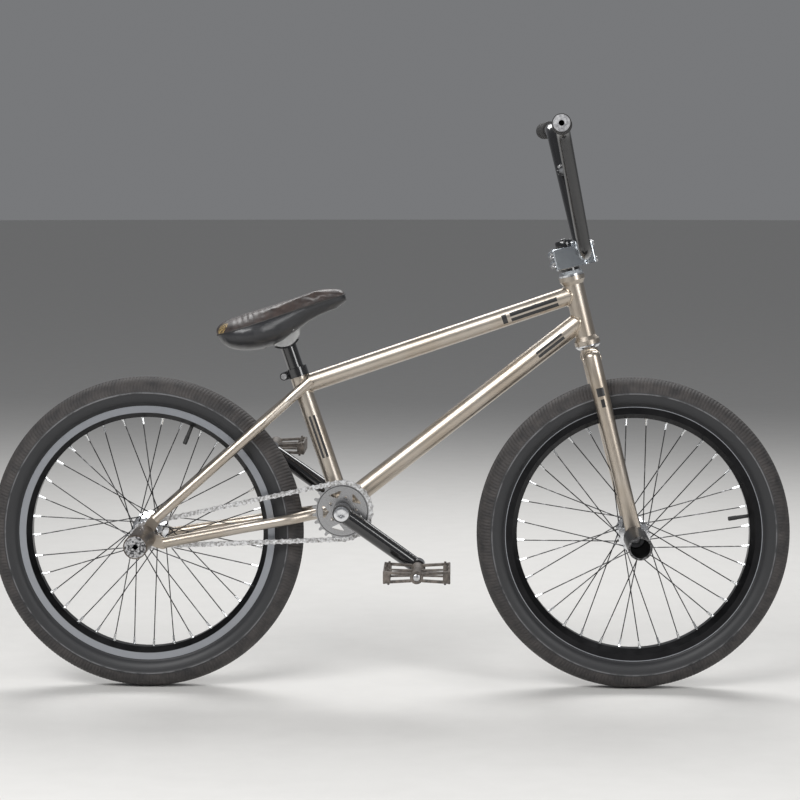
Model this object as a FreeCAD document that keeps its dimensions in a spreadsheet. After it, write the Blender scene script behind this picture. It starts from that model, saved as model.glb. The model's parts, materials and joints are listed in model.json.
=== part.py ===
# A 20 inch BMX bike, built as the real one is: welded steel frame and fork, spoked wheels,
# three piece cranks, half inch chain, clamped stem and a pivotal seat.
# Frame of the model: +X to the front wheel, +Y to the rider's left, +Z up. The origin is on
# the ground, halfway between the two hubs. All lengths are in millimetres.
import FreeCAD, Part
import Sketcher
import math
import os

Vector = FreeCAD.Vector
X = Vector(1, 0, 0)
Y = Vector(0, 1, 0)
Z = Vector(0, 0, 1)

doc = FreeCAD.newDocument("bmx_bike")
sheet = doc.addObject("Spreadsheet::Sheet", "dims")

DRIVING_DIMENSIONS = [
    ("hub_reach", 396.4, "from the origin forward or back to a hub"),
    ("tyre_radius", 255.0, "20 x 2.25 tyre, outside"),
    ("tyre_half_width", 29.0, "widest point of the casing"),
    ("bead_radius", 203.2, "ISO 406 bead seat"),
    ("rim_radius", 209.0, "outside of the rim flange"),
    ("rim_half_width", 19.0, "outside of the rim wall"),
    ("rim_depth", 19.5, "from the flange edge to the spoke bed"),
    ("head_angle", 76.25, "steering axis above the horizontal"),
    ("seat_angle", 71.4, "seat tube above the horizontal"),
    ("bracket_back", 76.2, "bottom bracket behind the origin"),
    ("bracket_height", 296.0, "bottom bracket above the ground"),
    ("head_tube_start", 318.0, "lower end, measured up the steering axis from the front axle"),
    ("head_tube_length", 114.0, ""),
    ("head_tube_radius", 16.5, ""),
    ("head_flange_radius", 21.0, ""),
    ("steerer_radius", 14.3, "one and one eighth inch"),
    ("top_tube_radius", 15.0, ""),
    ("down_tube_radius", 16.0, ""),
    ("seat_tube_radius", 14.3, ""),
    ("seat_post_radius", 12.7, "25.4 mm post"),
    ("stay_radius", 8.5, ""),
    ("tube_wall", 1.0, "wall of the frame tubes"),
    ("shell_radius", 23.0, "bottom bracket shell"),
    ("shell_half_width", 36.5, "73 mm shell"),
    ("rear_half_spacing", 55.0, "110 mm rear hub"),
    ("front_half_spacing", 50.0, "100 mm front hub"),
    ("dropout_thickness", 6.0, ""),
    ("rear_axle_radius", 7.0, "14 mm axle"),
    ("front_axle_radius", 4.76, "three eighths inch axle"),
    ("peg_radius", 19.0, ""),
    ("peg_length", 110.0, ""),
    ("peg_wall", 3.5, ""),
    ("fork_leg_top_radius", 13.8, ""),
    ("fork_leg_low_radius", 11.5, ""),
    ("crank_length", 150.0, ""),
    ("crank_angle", -35.4, "right crank, above the horizontal"),
    ("crank_arm_radius", 13.5, ""),
    ("crank_centre", 66.0, "middle of a crank arm from the middle of the bike"),
    ("spindle_radius", 9.5, "19 mm spindle"),
    ("chain_pitch", 12.7, "half inch"),
    ("chain_line", 41.0, "chain from the middle of the bike"),
    ("roller_radius", 3.87, ""),
    ("sprocket_teeth", 23, ""),
    ("driver_teeth", 9, ""),
    ("chain_pitches", 67, "one of them is the half link"),
    ("pedal_length", 106.0, "along the bike"),
    ("pedal_width", 94.0, "across the bike"),
    ("pedal_thickness", 20.0, ""),
    ("bar_radius", 11.1, "22.2 mm bar"),
    ("bar_half_width", 357.0, "to the end of the tube"),
    ("bar_rise", 205.0, "clamp to grip, up the steering axis"),
    ("stem_reach", 28.0, "steering axis to bar clamp"),
    ("stem_clamp_height", 464.0, "bar clamp, up the steering axis from the front axle"),
    ("grip_radius", 14.2, ""),
    ("grip_length", 118.0, ""),
    ("spokes_per_wheel", 36, ""),
    ("spoke_radius", 1.0, ""),
]

for row, (alias, value, note) in enumerate(DRIVING_DIMENSIONS, start=1):
    sheet.set(f"A{row}", alias.replace("_", " "))
    sheet.set(f"B{row}", str(value))
    sheet.set(f"C{row}", note)
    sheet.setAlias(f"B{row}", alias)
doc.recompute()


# ---- sizes that stay tied to the sheet ----


def number(size):
    return size.value if isinstance(size, Size) else float(size)


def words(size):
    return size.text if isinstance(size, Size) else repr(float(size))


class Size:
    """A length with its number now and its expression on the sheet."""

    def __init__(self, value, text):
        self.value = value
        self.text = text

    def __add__(self, other):
        return Size(self.value + number(other), f"({self.text} + {words(other)})")

    def __sub__(self, other):
        return Size(self.value - number(other), f"({self.text} - {words(other)})")

    def __mul__(self, other):
        return Size(self.value * number(other), f"({self.text} * {words(other)})")

    def __neg__(self):
        return Size(-self.value, f"(-{self.text})")


def size(alias):
    return Size(float(sheet.get(alias)), f"dims.{alias}")


def bind(item, **sizes):
    for prop, value in sizes.items():
        if isinstance(value, Size):
            item.setExpression(prop, value.text)
        setattr(item, prop, number(value))
    return item


# ---- building blocks ----

SLACK = 1.0  # how far a cutter runs past the face it cuts


def aim(item, base, direction=Z):
    item.Placement = FreeCAD.Placement(base, FreeCAD.Rotation(Z, direction))
    return item


def rod(start, end, radius):
    span = end - start
    item = bind(doc.addObject("Part::Cylinder", "rod"), Radius=radius)
    item.Height = span.Length
    return aim(item, start, span)


def cone(start, end, start_radius, end_radius):
    span = end - start
    item = bind(doc.addObject("Part::Cone", "cone"), Radius1=start_radius, Radius2=end_radius)
    item.Height = span.Length
    return aim(item, start, span)


def block(centre, rotation, length, width, height):
    """A box about its centre, turned by the rotation."""
    item = bind(doc.addObject("Part::Box", "block"), Length=length, Width=width, Height=height)
    corner = Vector(-number(length) / 2, -number(width) / 2, -number(height) / 2)
    item.Placement = FreeCAD.Placement(centre + rotation.multVec(corner), rotation)
    return item


def fuse(*items):
    if len(items) == 1:
        return items[0]
    result = doc.addObject("Part::MultiFuse", "joined")
    result.Shapes = list(items)
    return result


def cut(base, *tools):
    result = doc.addObject("Part::Cut", "trimmed")
    result.Base = base
    result.Tool = fuse(*tools)
    return result


def group(*items):
    result = doc.addObject("Part::Compound", "group")
    result.Links = list(items)
    return result


def tube(start, end, outer, inner):
    run = (end - start).normalize() * SLACK
    return cut(rod(start, end, outer), rod(start - run, end + run, inner))


def ring(centre, axis, half_length, outer, inner):
    reach = axis * half_length
    return tube(centre - reach, centre + reach, outer, inner)


def turned(outline, base, direction, cavity=()):
    """A lathe-turned piece: corners are (radius, height) about the base point and direction."""
    body = doc.addObject("PartDesign::Body", "turned")
    sketch = body.newObject("Sketcher::SketchObject", "section")
    planes = [plane for plane in body.Origin.OriginFeatures if plane.Role == "XZ_Plane"]
    sketch.AttachmentSupport = (planes[0], [""])
    sketch.MapMode = "FlatFace"
    first = 0
    for loop in (outline, cavity):
        corners = [Vector(number(r), number(h), 0) for r, h in loop]
        for k, corner in enumerate(corners):
            sketch.addGeometry(Part.LineSegment(corner, corners[(k + 1) % len(corners)]))
        for k, (r, h) in enumerate(loop):
            edge = first + k
            after = first + (k + 1) % len(loop)
            sketch.addConstraint(Sketcher.Constraint("Coincident", edge, 2, after, 1))
            for kind, value in (("DistanceX", r), ("DistanceY", h)):
                if number(value) == 0:
                    datum_axis = -2 if kind == "DistanceX" else -1
                    sketch.addConstraint(Sketcher.Constraint("PointOnObject", edge, 1, datum_axis))
                    continue
                index = sketch.addConstraint(
                    Sketcher.Constraint(kind, -1, 1, edge, 1, number(value))
                )
                if isinstance(value, Size):
                    sketch.setExpression(f"Constraints[{index}]", value.text)
        first += len(loop)
    turn = body.newObject("PartDesign::Revolution", "turn")
    turn.Profile = sketch
    turn.ReferenceAxis = (sketch, ["V_Axis"])
    turn.Angle = 360
    body.Placement = FreeCAD.Placement(base, FreeCAD.Rotation(Z, direction))
    return body


def rounded_path(points, radii):
    """Straight runs joined by tangent arcs, one radius for each inner point."""
    edges = []
    start = points[0]
    for before, corner, after, radius in zip(points, points[1:], points[2:], radii):
        arrive = (corner - before).normalize()
        leave = (after - corner).normalize()
        turn = arrive.getAngle(leave)
        trim = radius * math.tan(turn / 2)
        inner = (leave - arrive).normalize()
        middle = corner + inner * (radius / math.cos(turn / 2) - radius)
        arc_start = corner - arrive * trim
        arc_end = corner + leave * trim
        edges.append(Part.LineSegment(start, arc_start).toShape())
        edges.append(Part.Arc(arc_start, middle, arc_end).toShape())
        start = arc_end
    edges.append(Part.LineSegment(start, points[-1]).toShape())
    return Part.Wire(edges)


def bent_rod(points, radii, radius):
    spine = doc.addObject("Part::Feature", "route")
    spine.Shape = rounded_path(points, radii)
    profile = bind(doc.addObject("Part::Circle", "bore"), Radius=radius)
    aim(profile, points[0], points[1] - points[0])
    sweep = doc.addObject("Part::Sweep", "bent")
    sweep.Sections = [profile]
    sweep.Spine = (spine, [f"Edge{k + 1}" for k in range(len(spine.Shape.Edges))])
    sweep.Solid = True
    sweep.Frenet = False
    return sweep


nodes = {}


def node(label, item):
    item.Label = label
    nodes[label] = item
    return item


def degrees_vector(angle):
    """Unit vector in the middle plane, the angle counted up from +X."""
    return Vector(math.cos(math.radians(angle)), 0, math.sin(math.radians(angle)))


# ---- reference points and directions ----

hub_reach = number(size("hub_reach"))
tyre_radius = number(size("tyre_radius"))
rear_hub = Vector(-hub_reach, 0, tyre_radius)
front_hub = Vector(hub_reach, 0, tyre_radius)
bracket = Vector(-number(size("bracket_back")), 0, number(size("bracket_height")))

steer_up = degrees_vector(180 - number(size("head_angle")))
steer_forward = degrees_vector(90 - number(size("head_angle")))
steer_turn = FreeCAD.Rotation(steer_forward, Y, steer_up, "XZY")
seat_up = degrees_vector(180 - number(size("seat_angle")))
seat_forward = degrees_vector(90 - number(size("seat_angle")))
seat_turn = FreeCAD.Rotation(seat_forward, Y, seat_up, "XZY")


def on_steering(up, forward=0, side=0):
    """A point by its distance up the steering axis from the front axle."""
    return front_hub + steer_up * number(up) + steer_forward * number(forward) + Y * number(side)


def on_seat_tube(up, forward=0, side=0):
    """A point by its distance up the seat tube from the bottom bracket."""
    return bracket + seat_up * number(up) + seat_forward * number(forward) + Y * number(side)


SIDES = (-1, 1)  # right, left


# ---- frame: welded steel tubes ----

HEAD_FLANGE = 7.0  # straight part of a head tube flange
HEAD_TAPER = 14.0  # where the flange has run down to the tube
BEARING_SEAT_DEPTH = 8.0
BEARING_SEAT_RADIUS = 19.0
HEAD_BORE_RADIUS = 15.5

head_start = size("head_tube_start")
head_length = size("head_tube_length")
head_radius = size("head_tube_radius")
flange_radius = size("head_flange_radius")
node(
    "head_tube",
    turned(
        [
            (BEARING_SEAT_RADIUS, 0),
            (flange_radius, 0),
            (flange_radius, HEAD_FLANGE),
            (head_radius, HEAD_TAPER),
            (head_radius, head_length - HEAD_TAPER),
            (flange_radius, head_length - HEAD_FLANGE),
            (flange_radius, head_length),
            (BEARING_SEAT_RADIUS, head_length),
            (BEARING_SEAT_RADIUS, head_length - BEARING_SEAT_DEPTH),
            (HEAD_BORE_RADIUS, head_length - BEARING_SEAT_DEPTH),
            (HEAD_BORE_RADIUS, BEARING_SEAT_DEPTH),
            (BEARING_SEAT_RADIUS, BEARING_SEAT_DEPTH),
        ],
        on_steering(head_start),
        steer_up,
    ),
)
head_top = number(head_start) + number(head_length)

TOP_TUBE_ON_SEAT_TUBE = 211.0
TOP_TUBE_ON_HEAD_TUBE = 402.6
DOWN_TUBE_ON_HEAD_TUBE = 359.3
DOWN_TUBE_ABOVE_BRACKET = 4.0
SEAT_TUBE_LENGTH = 240.0

wall = size("tube_wall")
seat_tube_radius = size("seat_tube_radius")
shell_reach = Y * number(size("shell_half_width"))
seat_tube_line = (bracket, on_seat_tube(SEAT_TUBE_LENGTH))
top_tube_line = (on_seat_tube(TOP_TUBE_ON_SEAT_TUBE), on_steering(TOP_TUBE_ON_HEAD_TUBE))
down_tube_line = (
    bracket + Z * DOWN_TUBE_ABOVE_BRACKET,
    on_steering(DOWN_TUBE_ON_HEAD_TUBE),
)
shell_core = rod(bracket - shell_reach, bracket + shell_reach, size("shell_radius"))
head_core = rod(on_steering(head_start), on_steering(head_top), head_radius)
seat_core = rod(*seat_tube_line, seat_tube_radius)
top_core = rod(*top_tube_line, size("top_tube_radius"))

SHELL_BORE_RADIUS = 20.65
node("bottom_bracket_shell", cut(shell_core, rod(
    bracket - shell_reach * 1.1, bracket + shell_reach * 1.1, SHELL_BORE_RADIUS)))
SEAT_TUBE_WALL = 1.5
node("seat_tube", cut(
    tube(*seat_tube_line, seat_tube_radius, seat_tube_radius - SEAT_TUBE_WALL), shell_core))
node("top_tube", cut(
    tube(*top_tube_line, size("top_tube_radius"), size("top_tube_radius") - wall),
    seat_core, head_core))
node("down_tube", cut(
    tube(*down_tube_line, size("down_tube_radius"), size("down_tube_radius") - wall),
    shell_core, seat_core, head_core))

# rear dropouts: a plate with an open slot, one arm to each stay
DROPOUT_RADIUS = 17.0
DROPOUT_ARM_WIDTH = 19.0
SEAT_STAY_SLOPE = 0.8857
CHAIN_STAY_SLOPE = 0.177
SEAT_STAY_TOP = Vector(-128.0, 0, 505.4)
SEAT_STAY_PLAN = ((-128.0, 17.0), (-165.0, 22.0), (-205.0, 40.0), (-379.0, 58.0))
CHAIN_STAY_PLAN = ((-76.2, 22.0), (-128.0, 25.5), (-166.0, 40.5), (-240.0, 41.5), (-366.0, 59.0))


def seat_stay_points(side):
    return [
        Vector(x, side * y, SEAT_STAY_TOP.z + SEAT_STAY_SLOPE * (x - SEAT_STAY_TOP.x))
        for x, y in SEAT_STAY_PLAN
    ]


def chain_stay_points(side):
    return [
        Vector(x, side * y, bracket.z + CHAIN_STAY_SLOPE * (x - bracket.x))
        for x, y in CHAIN_STAY_PLAN
    ]


rear_spacing = number(size("rear_half_spacing"))
plate = size("dropout_thickness")


def rear_dropout(side):
    inner = rear_hub + Y * side * rear_spacing
    outer = inner + Y * side * number(plate)
    middle = (inner + outer) * 0.5
    pieces = [rod(inner, outer, DROPOUT_RADIUS)]
    for end in (seat_stay_points(side)[-1], chain_stay_points(side)[-1]):
        reach = Vector(end.x - rear_hub.x, 0, end.z - rear_hub.z)
        turn = FreeCAD.Rotation(X, reach)
        pieces.append(block(middle + reach * 0.5, turn, reach.Length, plate, DROPOUT_ARM_WIDTH))
        cap = Vector(end.x, middle.y, end.z)
        half = Y * (number(plate) / 2)
        pieces.append(rod(cap - half, cap + half, DROPOUT_ARM_WIDTH / 2))
    slot_length = 2 * DROPOUT_RADIUS
    slot = block(middle - X * (slot_length / 2), FreeCAD.Rotation(), slot_length, 20.0, 14.2)
    hole = rod(inner - Y * side * SLACK, outer + Y * side * SLACK, 7.1)
    return cut(fuse(*pieces), slot, hole)


dropouts = [rear_dropout(side) for side in SIDES]
node("rear_dropouts", group(*dropouts))

stay_radius = size("stay_radius")
STAY_BENDS = (60.0, 60.0)
CHAIN_STAY_BENDS = (60.0, 60.0, 90.0)


def bent_tube(points, radii, outer):
    return cut(bent_rod(points, radii, outer), bent_rod(points, radii, outer - wall))


seat_stays = []
chain_stays = []
for side, dropout in zip(SIDES, dropouts):
    seat_stays.append(cut(
        bent_tube(seat_stay_points(side), STAY_BENDS, stay_radius),
        seat_core, top_core, dropout))
    chain_stays.append(cut(
        bent_tube(chain_stay_points(side), CHAIN_STAY_BENDS, stay_radius),
        shell_core, seat_core, dropout))
node("seat_stays", group(*seat_stays))
node("chain_stays", group(*chain_stays))

SEAT_STAY_BRIDGE = Vector(-178.0, 0, 461.1)
CHAIN_STAY_BRIDGE = Vector(-127.0, 0, 287.0)
BRIDGE_RADIUS = 5.0
bridges = []
for centre, half, stay_pair, points in (
    (SEAT_STAY_BRIDGE, 28.0, seat_stays, seat_stay_points),
    (CHAIN_STAY_BRIDGE, 25.5, chain_stays, chain_stay_points),
):
    radii = STAY_BENDS if points is seat_stay_points else CHAIN_STAY_BENDS
    cores = [bent_rod(points(side), radii, stay_radius) for side in SIDES]
    bridges.append(cut(rod(centre - Y * half, centre + Y * half, BRIDGE_RADIUS), *cores))
node("stay_bridges", group(*bridges))

# seat clamp: a split collar with one ear and a cross bolt behind the tube
CLAMP_LOW = 227.0
CLAMP_HIGH = 242.0
CLAMP_RADIUS = 17.6
EAR_BACK = -22.5
EAR_RADIUS = 6.5
EAR_HALF_WIDTH = 8.5
CLAMP_BOLT_RADIUS = 3.0
ear_middle = on_seat_tube((CLAMP_LOW + CLAMP_HIGH) / 2, EAR_BACK)
collar = rod(on_seat_tube(CLAMP_LOW), on_seat_tube(CLAMP_HIGH), CLAMP_RADIUS)
ear = rod(ear_middle - Y * EAR_HALF_WIDTH, ear_middle + Y * EAR_HALF_WIDTH, EAR_RADIUS)
web = block(on_seat_tube((CLAMP_LOW + CLAMP_HIGH) / 2, EAR_BACK / 2), seat_turn,
            -EAR_BACK, 2 * EAR_HALF_WIDTH, 2 * EAR_RADIUS)
clamp_split = block(on_seat_tube((CLAMP_LOW + CLAMP_HIGH) / 2, EAR_BACK), seat_turn,
                    24.0, 2.0, 20.0)
clamp_bolt_hole = rod(ear_middle - Y * 12, ear_middle + Y * 12, CLAMP_BOLT_RADIUS)
clamp_bore = rod(on_seat_tube(CLAMP_LOW - 2), on_seat_tube(CLAMP_HIGH + 2), seat_tube_radius)
node("seat_clamp", cut(fuse(collar, ear, web), clamp_split, clamp_bolt_hole, clamp_bore))
node("seat_clamp_bolt", fuse(
    rod(ear_middle - Y * EAR_HALF_WIDTH, ear_middle + Y * EAR_HALF_WIDTH, CLAMP_BOLT_RADIUS),
    rod(ear_middle - Y * (EAR_HALF_WIDTH + 4), ear_middle - Y * EAR_HALF_WIDTH, 4.8)))

# bearings that sit in the frame
RUNNING_FIT = 0.05
BEARING_HEIGHT = 7.0
steerer_radius = size("steerer_radius")
node("headset_bearings", group(*[
    ring(on_steering(up), steer_up, BEARING_HEIGHT / 2,
         BEARING_SEAT_RADIUS, steerer_radius + RUNNING_FIT)
    for up in (number(head_start) + BEARING_SEAT_DEPTH - BEARING_HEIGHT / 2,
               head_top - BEARING_SEAT_DEPTH + BEARING_HEIGHT / 2)]))
BRACKET_BEARING_WIDTH = 8.0
bracket_bearing_side = number(size("shell_half_width")) - BRACKET_BEARING_WIDTH / 2
node("bottom_bracket_bearings", group(*[
    ring(bracket + Y * side * bracket_bearing_side, Y, BRACKET_BEARING_WIDTH / 2,
         SHELL_BORE_RADIUS, size("spindle_radius") + RUNNING_FIT)
    for side in SIDES]))


# ---- axles, nuts and pegs ----


def hex_nut(start, end, corner_radius, bore):
    span = end - start
    prism = bind(doc.addObject("Part::Prism", "hex"), Circumradius=corner_radius)
    prism.Polygon = 6
    prism.Height = span.Length
    aim(prism, start, span)
    return cut(prism, rod(start - span, end + span, bore))


def along(hub, *stations):
    return [hub + Y * number(station) for station in stations]


def axle(hub, radius, reach_right, reach_left, cones):
    """A threaded axle with a cone against each inner dropout face."""
    pieces = [rod(*along(hub, -reach_right, reach_left), radius)]
    for start, end, cone_radius in cones:
        pieces.append(rod(*along(hub, start, end), cone_radius))
    return fuse(*pieces)


rear_axle_radius = size("rear_axle_radius")
front_axle_radius = size("front_axle_radius")
rear_outer = rear_spacing + number(plate)
FORK_PLATE = 7.0
front_spacing = number(size("front_half_spacing"))
front_outer = front_spacing + FORK_PLATE
PEG_BASE = 6.0
REAR_NUT = (12.7, 10.0)
FRONT_NUT = (9.2, 9.0)
SIDE_GAP = 0.3

node("rear_axle", axle(rear_hub, rear_axle_radius, rear_outer + 20, rear_outer + 14, (
    (-rear_spacing, -50.3, 11.0), (47.3, rear_spacing, 12.0))))
node("rear_axle_nuts", group(
    hex_nut(*along(rear_hub, -rear_outer - PEG_BASE, -rear_outer - PEG_BASE - REAR_NUT[1]),
            REAR_NUT[0], rear_axle_radius),
    hex_nut(*along(rear_hub, rear_outer, rear_outer + REAR_NUT[1]), REAR_NUT[0],
            rear_axle_radius)))

peg_radius = size("peg_radius")
peg_bore = peg_radius - size("peg_wall")
peg_length = number(size("peg_length"))
PEG_CAP = 6.0
PEG_KEY = 7.7


def peg(hub, start, axle_radius, capped):
    """A tube that slides over the axle, with a wall at the dropout."""
    end = start - peg_length
    inner_end = end + PEG_CAP if capped else end - SLACK
    tools = [
        rod(*along(hub, start - PEG_BASE, inner_end), peg_bore),
        rod(*along(hub, start + SLACK, start - PEG_BASE - SLACK), axle_radius + 0.1),
    ]
    if capped:
        diagonal = FreeCAD.Rotation(Y, 45)
        middle = hub + Y * (end + PEG_CAP / 2)
        tools.append(block(middle, diagonal, PEG_KEY, 2 * PEG_CAP, PEG_KEY))
    return cut(rod(*along(hub, start, end), peg_radius), *tools)


node("rear_peg", peg(rear_hub, -rear_outer, rear_axle_radius, True))
node("front_peg", peg(front_hub, -front_outer, front_axle_radius, False))
node("front_axle", axle(front_hub, front_axle_radius, front_outer + 18, front_outer + 12, (
    (-front_spacing, -45.3, 8.0), (45.3, front_spacing, 8.0))))
node("front_axle_nuts", group(
    hex_nut(*along(front_hub, -front_outer - PEG_BASE, -front_outer - PEG_BASE - FRONT_NUT[1]),
            FRONT_NUT[0], front_axle_radius),
    hex_nut(*along(front_hub, front_outer, front_outer + FRONT_NUT[1]), FRONT_NUT[0],
            front_axle_radius)))


# ---- fork ----

CROWN_UP = 297.0
CROWN_RADIUS = 13.5
LEG_TOP_UP = 306.0
LEG_LOW_UP = 50.0
LEG_TOP_SIDE = 44.5
LEG_LOW_SIDE = 53.0
BLADE_TOP_UP = 66.0
BLADE_WIDTH = 22.0
DROPOUT_EYE = 13.5
LEG_WALL = 1.6
leg_low_radius = size("fork_leg_low_radius")
leg_top_radius = size("fork_leg_top_radius")


def on_leg(up, side):
    """A point on a fork leg's centre line."""
    share = (up - LEG_LOW_UP) / (LEG_TOP_UP - LEG_LOW_UP)
    return on_steering(up, 0, side * (LEG_LOW_SIDE + share * (LEG_TOP_SIDE - LEG_LOW_SIDE)))


legs = []
for side in SIDES:
    leg = cut(
        cone(on_leg(LEG_LOW_UP, side), on_leg(LEG_TOP_UP, side), leg_low_radius, leg_top_radius),
        cone(on_leg(BLADE_TOP_UP + 4, side), on_leg(LEG_TOP_UP - 3, side),
             leg_low_radius - LEG_WALL, leg_top_radius - LEG_WALL))
    blade_middle = on_steering(BLADE_TOP_UP / 2, 0, side * (front_spacing + front_outer) / 2)
    blade = block(blade_middle, steer_turn, BLADE_WIDTH, FORK_PLATE, BLADE_TOP_UP)
    eye = rod(*along(front_hub, side * front_spacing, side * front_outer), DROPOUT_EYE)
    hole = rod(*along(front_hub, side * (front_spacing - SLACK), side * (front_outer + SLACK)),
               front_axle_radius + 0.1)
    legs.append(cut(fuse(leg, blade, eye), hole))
node("fork_leg_right", legs[0])
node("fork_leg_left", legs[1])
crown_bar = cut(rod(on_steering(CROWN_UP, 0, -LEG_TOP_SIDE), on_steering(CROWN_UP, 0, LEG_TOP_SIDE),
                    CROWN_RADIUS), *legs)
STEERER_TOP_UP = 478.0
STEERER_WALL = 1.6
steerer = tube(on_steering(CROWN_UP), on_steering(STEERER_TOP_UP),
               steerer_radius, steerer_radius - STEERER_WALL)
node("fork_steerer", fuse(steerer, crown_bar))

# headset pieces that turn with the fork
RACE_LOW = 311.8
race_height = number(head_start) - SIDE_GAP - RACE_LOW
node("headset_crown_race", turned(
    [(steerer_radius, 0), (16.5, 0), (20.5, race_height - 2), (20.5, race_height),
     (steerer_radius, race_height)],
    on_steering(RACE_LOW), steer_up))
COVER_LOW = head_top + SIDE_GAP
COVER_HEIGHT = 8.7
node("headset_top_cover", turned(
    [(steerer_radius, 0), (20.5, 0), (20.5, 3.0), (16.5, COVER_HEIGHT),
     (steerer_radius, COVER_HEIGHT)],
    on_steering(COVER_LOW), steer_up))
STEM_LOW = 446.0
STEM_HIGH = 480.0
spacer_low = COVER_LOW + COVER_HEIGHT
node("headset_spacer", ring(
    on_steering((spacer_low + STEM_LOW) / 2), steer_up, (STEM_LOW - spacer_low) / 2,
    16.0, steerer_radius))


# ---- stem, bars and grips ----

STEM_BACK = -21.0
STEM_HALF_WIDTH = 26.0
FACEPLATE_GAP = 1.5
FACEPLATE_FRONT = 43.0
PINCH_BACK = -23.5
PINCH_UPS = (456.0, 471.5)
PINCH_EAR_RADIUS = 6.2
PINCH_EAR_HALF = 20.0
PINCH_SHANK = 3.0
PLATE_BOLT_SIDE = 19.5
PLATE_BOLT_UPS = (449.8, 477.2)
PLATE_SHANK = 2.0
PINCH_HEAD = 5.0
HEAD_ROOM = 0.3
reach = number(size("stem_reach"))
clamp_up = number(size("stem_clamp_height"))
stem_middle_up = (STEM_LOW + STEM_HIGH) / 2
stem_height = STEM_HIGH - STEM_LOW


def across_stem(up, forward, half):
    return on_steering(up, forward, -half), on_steering(up, forward, half)


bar_bore = rod(*across_stem(clamp_up, reach, 40.0), size("bar_radius"))
steerer_bore = rod(on_steering(STEM_LOW - 5), on_steering(STEM_HIGH + 5), steerer_radius)
plate_bolt_bores = [
    rod(on_steering(up, reach - 16, side * PLATE_BOLT_SIDE),
        on_steering(up, FACEPLATE_FRONT + 1, side * PLATE_BOLT_SIDE), PLATE_SHANK)
    for up in PLATE_BOLT_UPS for side in SIDES]
pinch_bores = [rod(*across_stem(up, PINCH_BACK, 30.0), PINCH_SHANK) for up in PINCH_UPS]
pinch_seats = [
    rod(on_steering(up, PINCH_BACK, -STEM_HALF_WIDTH - 1),
        on_steering(up, PINCH_BACK, -PINCH_EAR_HALF), PINCH_HEAD + HEAD_ROOM)
    for up in PINCH_UPS]
stem_box = block(on_steering(stem_middle_up, (STEM_BACK + reach) / 2), steer_turn,
                 reach - STEM_BACK, 2 * STEM_HALF_WIDTH, stem_height)
pinch_ears = [rod(*across_stem(up, PINCH_BACK, PINCH_EAR_HALF), PINCH_EAR_RADIUS)
              for up in PINCH_UPS]
stem_split = block(on_steering(stem_middle_up, PINCH_BACK), steer_turn, 26.0, 2.5, 50.0)
node("stem_body", cut(fuse(stem_box, *pinch_ears), bar_bore, steerer_bore, stem_split,
                      *plate_bolt_bores, *pinch_bores, *pinch_seats))
plate_back = reach + FACEPLATE_GAP
node("stem_faceplate", cut(
    block(on_steering(stem_middle_up, (plate_back + FACEPLATE_FRONT) / 2), steer_turn,
          FACEPLATE_FRONT - plate_back, 2 * STEM_HALF_WIDTH, stem_height),
    bar_bore, *plate_bolt_bores))
plate_bolts = [
    fuse(rod(on_steering(up, reach - 15, side * PLATE_BOLT_SIDE),
             on_steering(up, FACEPLATE_FRONT, side * PLATE_BOLT_SIDE), PLATE_SHANK),
         rod(on_steering(up, FACEPLATE_FRONT, side * PLATE_BOLT_SIDE),
             on_steering(up, FACEPLATE_FRONT + 4, side * PLATE_BOLT_SIDE), 4.0))
    for up in PLATE_BOLT_UPS for side in SIDES]
pinch_bolts = [
    fuse(rod(*across_stem(up, PINCH_BACK, PINCH_EAR_HALF), PINCH_SHANK),
         rod(on_steering(up, PINCH_BACK, -PINCH_EAR_HALF - 5),
             on_steering(up, PINCH_BACK, -PINCH_EAR_HALF), PINCH_HEAD))
    for up in PINCH_UPS]
node("stem_bolts", group(*plate_bolts, *pinch_bolts))
TOP_CAP_HEIGHT = 11.0
node("stem_top_cap", fuse(
    rod(on_steering(STEM_HIGH), on_steering(STEM_HIGH + TOP_CAP_HEIGHT), 15.0),
    rod(on_steering(STEM_HIGH + TOP_CAP_HEIGHT), on_steering(STEM_HIGH + TOP_CAP_HEIGHT + 2.5),
        4.5)))

BAR_CLAMP_SIDE = 52.0
BAR_SHOULDER_SIDE = 190.0
BAR_LEG_LEAN = 4.5
BAR_BACKSWEEP = -7.5
BAR_UPSWEEP = 3.0
BAR_BENDS = (45.0, 40.0, 40.0, 45.0)
BAR_WALL = 1.3
bar_radius = size("bar_radius")
bar_half = number(size("bar_half_width"))
shoulder_up = clamp_up + number(size("bar_rise"))


def bar_end(side):
    return on_steering(shoulder_up + BAR_UPSWEEP, reach + BAR_LEG_LEAN + BAR_BACKSWEEP,
                       side * bar_half)


def bar_shoulder(side):
    return on_steering(shoulder_up, reach + BAR_LEG_LEAN, side * BAR_SHOULDER_SIDE)


bar_points = [
    bar_end(-1), bar_shoulder(-1), on_steering(clamp_up, reach, -BAR_CLAMP_SIDE),
    on_steering(clamp_up, reach, BAR_CLAMP_SIDE), bar_shoulder(1), bar_end(1)]
bar_core = bent_rod(bar_points, BAR_BENDS, bar_radius)
node("handlebar", cut(bar_core, bent_rod(bar_points, BAR_BENDS, bar_radius - BAR_WALL)))
CROSSBAR_UP = 600.0
CROSSBAR_RADIUS = 8.0
crossbar_share = (CROSSBAR_UP - clamp_up) / (shoulder_up - clamp_up)
crossbar_half = BAR_CLAMP_SIDE + crossbar_share * (BAR_SHOULDER_SIDE - BAR_CLAMP_SIDE)
crossbar_forward = reach + crossbar_share * BAR_LEG_LEAN
crossbar_line = across_stem(CROSSBAR_UP, crossbar_forward, crossbar_half)
node("handlebar_crossbar", cut(
    tube(*crossbar_line, CROSSBAR_RADIUS, CROSSBAR_RADIUS - 1.0), bar_core))

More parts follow.
